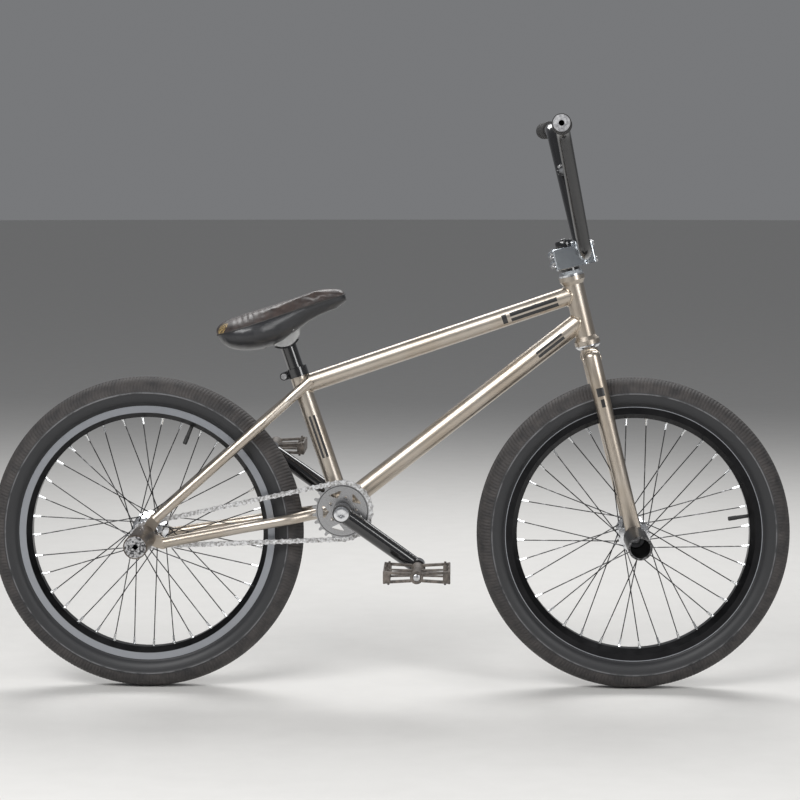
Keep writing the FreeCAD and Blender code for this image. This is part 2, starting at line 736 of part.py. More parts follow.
PLUG_RADIUS = 12.8
PLUG_DEPTH = 15.0
grips = []
plugs = []
for side in SIDES:
    tip = bar_end(side)
    inward = (bar_shoulder(side) - tip).normalize()
    grips.append(tube(tip, tip + inward * number(size("grip_length")),
                      size("grip_radius"), bar_radius))
    plugs.append(fuse(rod(tip - inward * 3.5, tip, PLUG_RADIUS),
                      rod(tip, tip + inward * PLUG_DEPTH, bar_radius - BAR_WALL)))
node("grips", group(*grips))
node("bar_end_plugs", group(*plugs))


# ---- wheels ----

RIM_WALL = 1.7
RIM_BED_HALF = 8.0
RIM_SHOULDER = 197.5
WELL_RADIUS = 201.0
WELL_HALF = 9.0
rim_radius = size("rim_radius")
rim_half = size("rim_half_width")
bead = size("bead_radius")
spoke_bed = rim_radius - size("rim_depth")


def rim_body(hub):
    """A double wall rim: flanges, bead seats, a drop centre and a closed chamber."""
    hook = rim_half - RIM_WALL
    right_half = [
        (spoke_bed, RIM_BED_HALF), (RIM_SHOULDER, rim_half), (rim_radius, rim_half),
        (rim_radius, hook), (bead, hook), (bead, WELL_HALF + 3), (WELL_RADIUS, WELL_HALF)]
    left_half = [(r, -y) for r, y in reversed(right_half)]
    chamber_right = [(spoke_bed + 1.8, RIM_BED_HALF - 1), (RIM_SHOULDER + 0.6, hook - 0.4),
                     (bead - 2.6, hook - 0.4), (bead - 2.6, WELL_HALF + 3.4),
                     (WELL_RADIUS - 2.4, WELL_HALF + 0.4)]
    chamber_left = [(r, -y) for r, y in reversed(chamber_right)]
    return turned(right_half + left_half, hub, Y, chamber_right + chamber_left)


def mirrored_arc(points):
    return [Vector(-p.x, p.y, 0) for p in reversed(points)]


TYRE_CASING = 3.2
TREAD_THICKNESS = 4.2


def tyre(hub):
    """An open casing that ends in two beads inside the rim flanges."""
    half = number(size("tyre_half_width"))
    hook = number(rim_half) - RIM_WALL - 0.3
    bead_top = number(rim_radius) + 0.6
    bead_low = number(bead) + 0.3
    outer = [
        (Vector(hook, bead_top, 0), Vector(half - 1.5, 218.0, 0), Vector(half, 230.0, 0)),
        (Vector(half, 230.0, 0), Vector(half * 0.77, 247.2, 0), Vector(0, tyre_radius, 0)),
    ]
    inside_half = half - TYRE_CASING
    top = tyre_radius - TREAD_THICKNESS
    inner = [
        (Vector(hook - TYRE_CASING, bead_top - 0.5, 0), Vector(inside_half - 1.5, 219.0, 0),
         Vector(inside_half, 230.0, 0)),
        (Vector(inside_half, 230.0, 0), Vector(inside_half * 0.77, 244.0, 0), Vector(0, top, 0)),
    ]
    edges = []
    for arcs in (outer, inner):
        for arc in arcs:
            edges.append(Part.Arc(*arc).toShape())
            edges.append(Part.Arc(*mirrored_arc(arc)).toShape())
    for sign in (1, -1):
        corners = [Vector(sign * hook, bead_top, 0), Vector(sign * hook, bead_low, 0),
                   Vector(sign * (hook - TYRE_CASING), bead_low, 0),
                   Vector(sign * (hook - TYRE_CASING), bead_top - 0.5, 0)]
        for start, end in zip(corners, corners[1:]):
            edges.append(Part.LineSegment(start, end).toShape())
    section = doc.addObject("Part::Feature", "tyre_section")
    section.Shape = Part.Face(Part.Wire(Part.__sortEdges__(edges)))
    section.Placement = FreeCAD.Placement(hub, FreeCAD.Rotation(Y, Z, X, "XYZ"))
    casing = doc.addObject("Part::Revolution", "casing")
    casing.Source = section
    casing.Base = hub
    casing.Axis = Y
    casing.Angle = 360
    casing.Solid = True
    return casing


TUBE_RADIUS = 22.0
TUBE_SKIN = 1.2
TUBE_CENTRE = 228.0
VALVE_RADIUS = 3.0
VALVE_TIP = 158.0


def inner_tube(hub, valve_angle):
    """Sealed ring inside the tyre, with its moulded valve through the rim."""
    doughnuts = []
    for radius in (TUBE_RADIUS, TUBE_RADIUS - TUBE_SKIN):
        doughnut = bind(doc.addObject("Part::Torus", "doughnut"),
                        Radius1=TUBE_CENTRE, Radius2=radius)
        doughnuts.append(aim(doughnut, hub, Y))
    valve = degrees_vector(valve_angle)
    base = hub + valve * (TUBE_CENTRE - TUBE_RADIUS + TUBE_SKIN / 2)
    return fuse(cut(*doughnuts), rod(hub + valve * VALVE_TIP, base, VALVE_RADIUS))


def valve_hole(hub, valve_angle):
    valve = degrees_vector(valve_angle)
    return rod(hub + valve * 180.0, hub + valve * 215.0, VALVE_RADIUS + 0.3)


CROSSES = 3
NIPPLE_LENGTH = 12.0
NIPPLE_RADIUS = 2.0
SPOKE_HOLE_INSET = 3.0


def spoke_lines(hub, flanges, valve_angle):
    """Each spoke from its flange hole to its nipple: three cross lacing clear of the valve."""
    count = int(number(size("spokes_per_wheel")))
    per_side = count // 2
    bed = number(spoke_bed)
    lines = []
    for k in range(count):
        side = k % 2
        offset, flange = flanges[side]
        slot = k // 2
        lean = 1 if slot % 2 == 0 else -1
        rim_angle = valve_angle + 360.0 * (k + 0.5) / count
        hub_angle = rim_angle + lean * CROSSES * 360.0 / per_side - lean * 180.0 / per_side
        on_hub = degrees_vector(hub_angle) * (flange - SPOKE_HOLE_INSET)
        on_rim = degrees_vector(rim_angle) * (bed - 0.1)
        side_of_flange = offset + lean * 2.3 * (1 if offset > 0 else -1)
        lines.append((hub + on_hub + Y * side_of_flange,
                      hub + on_rim + Y * (3.0 if offset > 0 else -3.0)))
    return lines


def spokes(hub, flanges, valve_angle):
    shapes = []
    for start, end in spoke_lines(hub, flanges, valve_angle):
        run = (end - start).normalize()
        nipple_start = end - run * NIPPLE_LENGTH
        thread = (nipple_start - start).Length
        shapes.append(Part.makeCylinder(number(size("spoke_radius")), thread, start, run))
        shapes.append(Part.makeCylinder(NIPPLE_RADIUS, NIPPLE_LENGTH - 0.3, nipple_start, run))
    item = doc.addObject("Part::Feature", "laced_spokes")
    item.Shape = Part.makeCompound(shapes)
    return item


front_hub_outline = [
    (13.0, -45.0), (16.0, -45.0), (16.0, -36.0), (26.0, -34.5), (26.0, -31.5), (14.5, -28.0),
    (12.5, 0), (14.5, 28.0), (26.0, 31.5), (26.0, 34.5), (16.0, 36.0), (16.0, 45.0),
    (13.0, 45.0), (13.0, 37.0), (9.0, 37.0), (9.0, -37.0), (13.0, -37.0)]
rear_hub_outline = [
    (17.0, -36.0), (20.0, -36.0), (20.0, -29.0), (26.0, -27.5), (26.0, -24.5), (18.0, -20.0),
    (16.5, 0), (18.0, 26.0), (30.0, 31.5), (30.0, 34.5), (19.0, 37.0), (19.0, 47.0),
    (16.0, 47.0), (16.0, 38.0), (12.0, 38.0), (12.0, -29.0), (17.0, -29.0)]
WHEELS = (
    ("front", front_hub, 8.8, ((-33.0, 26.0), (33.0, 26.0)), front_hub_outline,
     ((-41.5, 13.0), (41.5, 13.0)), front_axle_radius),
    ("rear", rear_hub, 67.3, ((-26.0, 26.0), (33.0, 30.0)), rear_hub_outline,
     ((-32.6, 17.0), (42.6, 16.0)), rear_axle_radius),
)
HUB_BEARING_HALF = 3.4
for name, hub, valve_angle, flanges, outline, bearings, axle_radius in WHEELS:
    node(f"{name}_tyre", tyre(hub))
    node(f"{name}_inner_tube", inner_tube(hub, valve_angle))
    node(f"{name}_rim", cut(rim_body(hub), valve_hole(hub, valve_angle)))
    node(f"{name}_spokes", spokes(hub, flanges, valve_angle))
    node(f"{name}_hub_shell", turned(outline, hub, Y))
    node(f"{name}_hub_bearings", group(*[
        ring(hub + Y * offset, Y, HUB_BEARING_HALF, radius, axle_radius + RUNNING_FIT)
        for offset, radius in bearings]))


# ---- chain: 33 inner links, 33 outer links and one half link ----

pitch = number(size("chain_pitch"))
pitch_count = int(number(size("chain_pitches")))
chain_line = number(size("chain_line"))
roller_radius = number(size("roller_radius"))
sprocket_teeth = int(number(size("sprocket_teeth")))
driver_teeth = int(number(size("driver_teeth")))


def pitch_radius(teeth):
    return pitch / (2 * math.sin(math.pi / teeth))


def chain_path():
    """Pitch line round the sprocket and the driver, as a function of the distance along it."""
    big = pitch_radius(sprocket_teeth)
    small = pitch_radius(driver_teeth)
    back = rear_hub - bracket
    spacing = back.Length
    lean = math.asin((big - small) / spacing)
    back_angle = math.atan2(back.z, back.x)
    upper = back_angle - math.pi / 2 + lean
    lower = back_angle + math.pi / 2 - lean
    run = spacing * math.cos(lean)
    wrap_big = 2 * math.pi - (lower - upper)
    wrap_small = lower - upper
    total = run * 2 + big * wrap_big + small * wrap_small

    def on_circle(centre, radius, angle):
        return centre + Vector(math.cos(angle), 0, math.sin(angle)) * radius

    def point(distance):
        distance %= total
        if distance < big * wrap_big:
            return on_circle(bracket, big, upper - distance / big)
        distance -= big * wrap_big
        start = on_circle(bracket, big, lower)
        end = on_circle(rear_hub, small, lower)
        if distance < run:
            return start + (end - start) * (distance / run)
        distance -= run
        if distance < small * wrap_small:
            return on_circle(rear_hub, small, lower - distance / small)
        distance -= small * wrap_small
        start = on_circle(rear_hub, small, upper)
        end = on_circle(bracket, big, upper)
        return start + (end - start) * (distance / run)

    return point, total


def chain_pins():
    """Pins one chord apart; the chord takes up the last few hundredths of slack."""
    point, total = chain_path()
    chord = pitch
    for _ in range(30):
        distance = 0.0
        places = []
        for _ in range(pitch_count):
            here = point(distance)
            places.append(here)
            after = distance + chord
            for _ in range(12):
                after += chord - (point(after) - here).Length
            distance = after
        chord += (total - distance) / pitch_count
    return places


pins = chain_pins()

INNER_GAP = 1.65
PLATE = 1.0
PLATE_RADIUS = 4.1
WAIST = 3.1
PIN_RADIUS = 1.8
PIN_BORE = 1.87
PIN_REACH = 4.3


def link_plate(low, start=0.0, end=pitch):
    """One plate between two heights across the chain, round at both pins."""
    high = low + PLATE
    parts = [Part.makeBox(end - start, PLATE, 2 * WAIST, Vector(start, low, -WAIST))]
    for x in (0.0, pitch):
        if start <= x <= end:
            parts.append(Part.makeCylinder(PLATE_RADIUS, PLATE, Vector(x, low, 0), Y))
    return parts[0].multiFuse(parts[1:]), high


def bored(shape, places):
    for x in places:
        shape = shape.cut(Part.makeCylinder(PIN_BORE, 12.0, Vector(x, -6, 0), Y))
    return shape


def roller(x):
    return Part.makeCylinder(roller_radius, 2 * INNER_GAP, Vector(x, -INNER_GAP, 0), Y)


def pin(x):
    return Part.makeCylinder(PIN_RADIUS, 2 * PIN_REACH, Vector(x, -PIN_REACH, 0), Y)


OUTER_GAP = INNER_GAP + PLATE + 0.1


def inner_link():
    plates = [link_plate(low)[0] for low in (INNER_GAP, -INNER_GAP - PLATE)]
    return bored(plates[0].multiFuse([plates[1], roller(0.0), roller(pitch)]), (0.0, pitch))


def outer_link():
    plates = [link_plate(low)[0] for low in (OUTER_GAP, -OUTER_GAP - PLATE)]
    return plates[0].multiFuse([plates[1], pin(0.0), pin(pitch)])


def half_link():
    """Inner plates at one end, cranked out to outer plates and a pin at the other."""
    middle = pitch / 2
    joggle = 0.8
    parts = [roller(0.0)]
    for sign in (1, -1):
        inner_low = INNER_GAP if sign > 0 else -INNER_GAP - PLATE
        outer_low = OUTER_GAP if sign > 0 else -OUTER_GAP - PLATE
        parts.append(link_plate(inner_low, 0.0, middle)[0])
        parts.append(link_plate(outer_low, middle, pitch)[0])
        low = min(inner_low, outer_low)
        step = Vector(middle - joggle, low, -WAIST)
        parts.append(Part.makeBox(2 * joggle, OUTER_GAP + PLATE - INNER_GAP, 2 * WAIST, step))
    shape = bored(parts[0].multiFuse(parts[1:]), (0.0,))
    return shape.fuse(pin(pitch))


def placed_link(shape, start, end):
    along_chain = (end - start).normalize()
    turn = FreeCAD.Rotation(along_chain, Y, along_chain.cross(Y), "XYZ")
    copy = shape.copy()
    copy.Placement = FreeCAD.Placement(start - Y * chain_line, turn)
    return copy


templates = (inner_link(), outer_link())
chain_links = ([], [])
for k in range(pitch_count - 1):
    chain_links[k % 2].append(placed_link(templates[k % 2], pins[k], pins[k + 1]))
chain_links[1].append(placed_link(half_link(), pins[-1], pins[0]))
for label, links in zip(("chain_inner_links", "chain_outer_links"), chain_links):
    chain_part = doc.addObject("Part::Feature", label)
    chain_part.Shape = Part.makeCompound(links)
    node(label, chain_part)


# ---- sprocket and driver ----

TOOTH_HALF = 1.4
SEAT_SLACK = 0.2
SEAT_OPENING = 100.0
TIP_HEIGHT = 2.6
TIP_HALF = 0.8


def toothed_disc(centre, teeth, first_angle):
    """Disc whose roller seats hold the chain: one arc and three lines for each tooth."""
    radius = pitch_radius(teeth)
    seat = roller_radius + SEAT_SLACK
    opening = math.radians(SEAT_OPENING)
    edges = []
    step = 2 * math.pi / teeth

    def frame_at(angle):
        radial = Vector(math.cos(angle), 0, math.sin(angle))
        return radial, Vector(-radial.z, 0, radial.x)

    for k in range(teeth):
        angle = first_angle + k * step
        out, side = frame_at(angle)
        middle = out * radius
        entry = middle - out * (seat * math.cos(opening)) - side * (seat * math.sin(opening))
        leave = middle - out * (seat * math.cos(opening)) + side * (seat * math.sin(opening))
        tip_out, tip_side = frame_at(angle + step / 2)
        tips = [tip_out * (radius + TIP_HEIGHT) + tip_side * reach_side
                for reach_side in (-TIP_HALF, TIP_HALF)]
        next_out, next_side = frame_at(angle + step)
        next_entry = (next_out * (radius - seat * math.cos(opening))
                      - next_side * (seat * math.sin(opening)))
        edges.append(Part.Arc(entry, middle - out * seat, leave).toShape())
        for start, end in zip([leave] + tips, tips + [next_entry]):
            edges.append(Part.LineSegment(start, end).toShape())
    face = Part.Face(Part.Wire(edges))
    disc = doc.addObject("Part::Feature", "toothed_disc")
    disc.Shape = face.extrude(Y * 2 * TOOTH_HALF)
    disc.Placement = FreeCAD.Placement(centre - Y * (chain_line + TOOTH_HALF), FreeCAD.Rotation())
    return disc


def roller_room(centre, teeth):
    """Clearance for the rollers that are just leaving a toothed disc."""
    reach = pitch_radius(teeth) + pitch / 2
    return [rod(place - Y * (chain_line + DISC_HALF), place - Y * (chain_line - DISC_HALF),
                roller_radius + SEAT_SLACK)
            for place in pins if (place - centre).Length < reach]


def angle_of(pin_place, centre):
    return math.atan2(pin_place.z - centre.z, pin_place.x - centre.x)


DISC_RADIUS = 41.5
DISC_HALF = 3.0
WINDOW_ANGLE = 40.0
WINDOW_COUNT = 5
BIG_WINDOW = ((34.0, -21.5), (34.0, 21.5), (21.5, 0.0))
SMALL_WINDOW = ((19.5, -13.0), (19.5, 13.0), (26.0, 0.0))
WINDOW_ROUND = 1.3


def window(corners, turn_angle):
    """A rounded three cornered hole through the sprocket."""
    places = [degrees_vector(turn_angle + angle) * radius for radius, angle in corners]
    wire = Part.makePolygon(places + places[:1])
    hole = doc.addObject("Part::Feature", "window")
    hole.Shape = Part.Face(wire).makeOffset2D(-WINDOW_ROUND).makeOffset2D(WINDOW_ROUND).extrude(
        Y * 4 * DISC_HALF)
    hole.Placement = FreeCAD.Placement(bracket - Y * (chain_line + 2 * DISC_HALF),
                                       FreeCAD.Rotation())
    return hole


spindle_radius = size("spindle_radius")
windows = []
for k in range(WINDOW_COUNT):
    turn_angle = WINDOW_ANGLE + 360.0 * k / WINDOW_COUNT
    windows.append(window(BIG_WINDOW, turn_angle))
    windows.append(window(SMALL_WINDOW, turn_angle + 180.0 / WINDOW_COUNT))
sprocket_disc = toothed_disc(bracket, sprocket_teeth, angle_of(pins[0], bracket))
sprocket_web = rod(bracket - Y * (chain_line + DISC_HALF), bracket - Y * (chain_line - DISC_HALF),
                   DISC_RADIUS)
sprocket_bore = rod(bracket - Y * (chain_line + 10), bracket - Y * (chain_line - 10),
                    spindle_radius)
node("sprocket", cut(fuse(sprocket_disc, sprocket_web), sprocket_bore, *windows,
                     *roller_room(bracket, sprocket_teeth)))

on_driver = [place for place in pins
             if abs((place - rear_hub).Length - pitch_radius(driver_teeth)) < 0.001]
driver_disc = toothed_disc(rear_hub, driver_teeth, angle_of(on_driver[0], rear_hub))
driver_sleeve = rod(*along(rear_hub, -50.0, -37.0), 12.5)
driver_bore = rod(*along(rear_hub, -55.0, -35.0), rear_axle_radius + RUNNING_FIT)
node("rear_driver", cut(fuse(driver_disc, driver_sleeve), driver_bore,
                        *roller_room(rear_hub, driver_teeth)))


# ---- cranks ----

crank_centre = number(size("crank_centre"))
crank_radius = size("crank_arm_radius")
BOSS_RADIUS = 14.5
PEDAL_BOSS_RADIUS = 12.8
ARM_TIP_RADIUS = 12.2
PEDAL_THREAD = 6.9
ARM_WALL = 2.2
crank_ends = (number(size("crank_angle")), number(size("crank_angle")) + 180.0)
arm_half = number(crank_radius)
spindle_end = crank_centre + arm_half
SPACER_RADIUS = 12.0
SPACER_INNER = number(size("shell_half_width")) + SIDE_GAP
spindle = rod(*along(bracket, -spindle_end, spindle_end), spindle_radius)
left_spacer = ring(bracket + Y * (SPACER_INNER + crank_centre - arm_half) / 2, Y,
                   (crank_centre - arm_half - SPACER_INNER) / 2, SPACER_RADIUS, spindle_radius)
right_spacer = ring(bracket - Y * (chain_line + DISC_HALF + crank_centre - arm_half) / 2, Y,
                    (crank_centre - arm_half - chain_line - DISC_HALF) / 2,
                    SPACER_RADIUS, spindle_radius)
node("crank_spindle", group(spindle, left_spacer, right_spacer))


def pedal_place(side):
    angle = crank_ends[0] if side < 0 else crank_ends[1]
    return bracket + degrees_vector(angle) * number(size("crank_length"))


def crank_arm(side):
    at_bracket = bracket + Y * side * crank_centre
    at_pedal = pedal_place(side) + Y * side * crank_centre
    half = Y * arm_half
    arm = cone(at_bracket, at_pedal, crank_radius, ARM_TIP_RADIUS)
    inward = (at_pedal - at_bracket).normalize()
    hollow = cone(at_bracket + inward * BOSS_RADIUS, at_pedal - inward * PEDAL_BOSS_RADIUS,
                  crank_radius - ARM_WALL, size("crank_arm_radius") - ARM_WALL - 1.3)
    arm = cut(arm, hollow)
    boss = rod(at_bracket - half, at_bracket + half, BOSS_RADIUS)
    tip = rod(at_pedal - half, at_pedal + half, PEDAL_BOSS_RADIUS)
    bores = [rod(at_bracket - half * 2, at_bracket + half * 2, spindle_radius),
             rod(at_pedal - half * 2, at_pedal + half * 2, PEDAL_THREAD)]
    return cut(fuse(arm, boss, tip), *bores)


node("crank_arm_right", crank_arm(-1))
node("crank_arm_left", crank_arm(1))
END_BOLT_HEIGHT = 3.5
node("crank_end_bolts", group(*[
    ring(bracket + Y * side * (spindle_end + END_BOLT_HEIGHT / 2), Y, END_BOLT_HEIGHT / 2,
         12.0, 3.0)
    for side in SIDES]))


# ---- pedals ----

PEDAL_INNER = crank_centre + arm_half + 3.5
PEDAL_AXLE_RADIUS = 6.0
PEDAL_BARREL_RADIUS = 10.0
PEDAL_BAR = 13.0
PEDAL_SIDE = 8.0
PIN_HEIGHT = 3.0
pedal_width = number(size("pedal_width"))
pedal_length = size("pedal_length")
pedal_thickness = size("pedal_thickness")
pedal_outer = PEDAL_INNER + pedal_width
node("pedal_axles", group(*[
    fuse(rod(*along(pedal_place(side), side * (crank_centre - arm_half), side * (PEDAL_INNER - 1)),
             PEDAL_THREAD),
         rod(*along(pedal_place(side), side * (PEDAL_INNER - 1), side * (pedal_outer - 6)),
             PEDAL_AXLE_RADIUS))
    for side in SIDES]))


def pedal_body(side):
    """A flat platform: barrel, four bars and a cross web, with moulded grip studs."""
    level = FreeCAD.Rotation()
    middle = pedal_place(side) + Y * side * (PEDAL_INNER + pedal_outer) / 2
    half_length = number(pedal_length) / 2
    half_width = pedal_width / 2
    half_thick = number(pedal_thickness) / 2
    pieces = [rod(middle - Y * half_width, middle + Y * half_width, PEDAL_BARREL_RADIUS)]
    for end in SIDES:
        bar = middle + X * end * (half_length - PEDAL_BAR / 2)
        pieces.append(block(bar, level, PEDAL_BAR, pedal_width, pedal_thickness))
        plate_middle = middle + Y * end * (half_width - PEDAL_SIDE / 2)
        pieces.append(block(plate_middle, level, pedal_length, PEDAL_SIDE, pedal_thickness - 4))
        for stud in (-0.38, -0.13, 0.13, 0.38):
            base = bar + Y * stud * pedal_width
            top = Z * (half_thick + PIN_HEIGHT)
            pieces.append(rod(base - top, base + top, 2.0))
    pieces.append(block(middle, level, pedal_length, PEDAL_SIDE, pedal_thickness - 8))
    inside = pedal_place(side) + Y * side * (PEDAL_INNER - 2)
    bore_end = pedal_place(side) + Y * side * (pedal_outer - 5)
    return cut(fuse(*pieces), rod(inside, bore_end, PEDAL_AXLE_RADIUS + RUNNING_FIT))


node("pedal_right", pedal_body(-1))
node("pedal_left", pedal_body(1))


# ---- seatpost and seat ----

TILT_UP = 308.3
CRADLE_OUTER = 31.5
CRADLE_INNER = 28.8
CRADLE_HALF_WIDTH = 15.0
CRADLE_RIM = 23.0
BOSS_ARC = 28.5
POST_LOW = 130.0
POST_SOLID = 258.0
POST_WALL = 2.2
PIVOT_SHANK = 4.0
PIVOT_HEAD = 6.5
tilt_axis = on_seat_tube(TILT_UP)
post_radius = size("seat_post_radius")


def about_tilt(radius, half_width):
    return rod(tilt_axis - Y * half_width, tilt_axis + Y * half_width, radius)


post = cut(rod(on_seat_tube(POST_LOW), on_seat_tube(TILT_UP), post_radius),
           about_tilt(CRADLE_INNER, 40.0),
           rod(on_seat_tube(POST_LOW - 5), on_seat_tube(POST_SOLID), post_radius - POST_WALL))
cradle = cut(about_tilt(CRADLE_OUTER, CRADLE_HALF_WIDTH), about_tilt(CRADLE_INNER, 40.0),
             block(on_seat_tube(TILT_UP - CRADLE_RIM + 50), seat_turn, 100.0, 60.0, 100.0))
pivot_line = (on_seat_tube(POST_SOLID - 6), on_seat_tube(TILT_UP - 4))
node("seatpost", cut(fuse(post, cradle), rod(*pivot_line, PIVOT_SHANK)))
node("seat_pivot_bolt", fuse(
    rod(*pivot_line, PIVOT_SHANK),
    rod(on_seat_tube(TILT_UP - 4), on_seat_tube(TILT_UP + 3), PIVOT_HEAD)))

SEAT_REAR = Vector(-283.5, 0, 583.0)
SEAT_TILT = 14.9
seat_along = degrees_vector(SEAT_TILT)
seat_out = degrees_vector(SEAT_TILT + 90.0)
section_turn = FreeCAD.Rotation(Y, seat_out, seat_along, "XYZ")
SEAT_SECTIONS = (  # distance from the rear, middle height, half width, half height
    (1.0, -3.0, 22.0, 7.0),
    (12.0, -9.5, 46.0, 21.5),
    (35.0, -14.0, 61.0, 26.5),
    (65.0, -16.4, 65.0, 29.0),
    (100.0, -12.9, 54.0, 27.2),
    (135.0, -5.0, 37.0, 21.0),
    (172.0, 3.4, 25.5, 15.4),
    (205.0, 4.6, 21.0, 12.6),
    (222.0, 2.0, 12.0, 6.0),
)


def on_seat(forward, up, side=0.0):
    return SEAT_REAR + seat_along * forward + seat_out * up + Y * side


rings = []
for forward, up, half_width, half_height in SEAT_SECTIONS:
    section = bind(doc.addObject("Part::Ellipse", "section"),
                   MajorRadius=half_width, MinorRadius=half_height)
    section.Placement = FreeCAD.Placement(on_seat(forward, up), section_turn)
    rings.append(section)
cushion = doc.addObject("Part::Loft", "cushion")
cushion.Sections = rings
cushion.Solid = True
pan_turn = FreeCAD.Rotation(seat_along, Y, seat_out, "XYZ")
PAN_MIDDLE = (88.0, -24.0)
PAN_SIZE = (76.0, 50.0, 9.0)
pan = block(on_seat(*PAN_MIDDLE), pan_turn, *PAN_SIZE)
boss = about_tilt(BOSS_ARC, CRADLE_HALF_WIDTH - 1)
bolt_slot = block(on_seat_tube(TILT_UP - 12), seat_turn, 26.0, 15.4, 50.0)
node("seat_base", cut(fuse(pan, boss), bolt_slot))
node("seat_padding", cut(cushion, pan, boss))


# ---- check and write ----

doc.recompute()
failed = [item.Name for item in doc.Objects if set(item.State) & {"Invalid", "Error"}]
if failed:
    raise RuntimeError(f"objects that failed: {failed}")
os.makedirs("parts", exist_ok=True)
for label, item in nodes.items():
    shape = item.Shape
    if shape.isNull() or not shape.isValid() or not shape.Solids:
        raise RuntimeError(f"{label} has no valid solid")
    shape.exportStep(f"parts/{label}.step")
    print(f"{label}: {len(shape.Solids)} solids, {shape.Volume / 1000:.1f} cm3")
print(f"{len(nodes)} nodes")
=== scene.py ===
import json
import math

import bmesh
import bpy
from mathutils import Matrix, Vector, noise
from mathutils.bvhtree import BVHTree


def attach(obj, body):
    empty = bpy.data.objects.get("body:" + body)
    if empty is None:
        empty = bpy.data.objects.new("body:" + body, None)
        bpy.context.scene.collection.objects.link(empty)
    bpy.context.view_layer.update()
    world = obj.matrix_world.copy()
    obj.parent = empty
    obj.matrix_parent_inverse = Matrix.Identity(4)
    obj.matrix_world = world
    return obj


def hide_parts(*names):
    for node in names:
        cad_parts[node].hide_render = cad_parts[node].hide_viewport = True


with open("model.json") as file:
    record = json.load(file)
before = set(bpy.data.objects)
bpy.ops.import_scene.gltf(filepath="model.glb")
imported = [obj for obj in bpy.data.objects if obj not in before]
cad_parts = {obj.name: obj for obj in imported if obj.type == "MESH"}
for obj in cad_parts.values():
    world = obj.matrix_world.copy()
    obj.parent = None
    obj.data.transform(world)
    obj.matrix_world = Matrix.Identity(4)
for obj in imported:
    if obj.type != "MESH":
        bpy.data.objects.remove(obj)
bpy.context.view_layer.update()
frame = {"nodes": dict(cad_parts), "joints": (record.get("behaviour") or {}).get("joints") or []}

# ---- camera, floor and studio light ----
# A long lens at the height of the bars looks a little down on the right side of the bike.
# The floor is plain pale vinyl, lit by three large soft boxes and an even sky.
MM = 0.001
scene = bpy.context.scene
scene.view_settings.view_transform = "Standard"
camera = bpy.data.objects.new("camera", bpy.data.cameras.new("camera"))
scene.collection.objects.link(camera)
scene.camera = camera
camera.data.lens = 111.06
camera.data.sensor_width = 36.0
camera.location = (0.10493, -4.0, 0.84203)
YAW = math.radians(1.2712)
PITCH = math.radians(5.278)
sight = Vector((-math.sin(YAW) * math.cos(PITCH), math.cos(YAW) * math.cos(PITCH),
                -math.sin(PITCH)))
camera.rotation_mode = "QUATERNION"
camera.rotation_quaternion = sight.to_track_quat("-Z", "Y")


class Link:
    """One output of a node, so that a pattern can be written as arithmetic."""

    def __init__(self, finish, socket):
        self.finish = finish
        self.socket = socket

    def math(self, operation, *others):
        return self.finish.node("ShaderNodeMath", {"operation": operation},
                                dict(enumerate((self,) + others)))

    def __add__(self, other):
        return self.math("ADD", other)

    __radd__ = __add__

    def __mul__(self, other):
        return self.math("MULTIPLY", other)

    __rmul__ = __mul__

    def __sub__(self, other):
        return self.math("SUBTRACT", other)

    def __rsub__(self, other):
        return self.finish.node("ShaderNodeMath", {"operation": "SUBTRACT"},
                                {0: other, 1: self})

    def __truediv__(self, other):
        return self.math("DIVIDE", other)

    def above(self, edge, soft):
        """0 below the edge and 1 above it, over a soft step."""
        return self.finish.node("ShaderNodeMapRange", {"clamp": True},
                                {"Value": self, "From Min": edge - soft, "From Max": edge + soft})

    def between(self, low, high, soft):
        return self.above(low, soft) * (1 - self.above(high, soft))


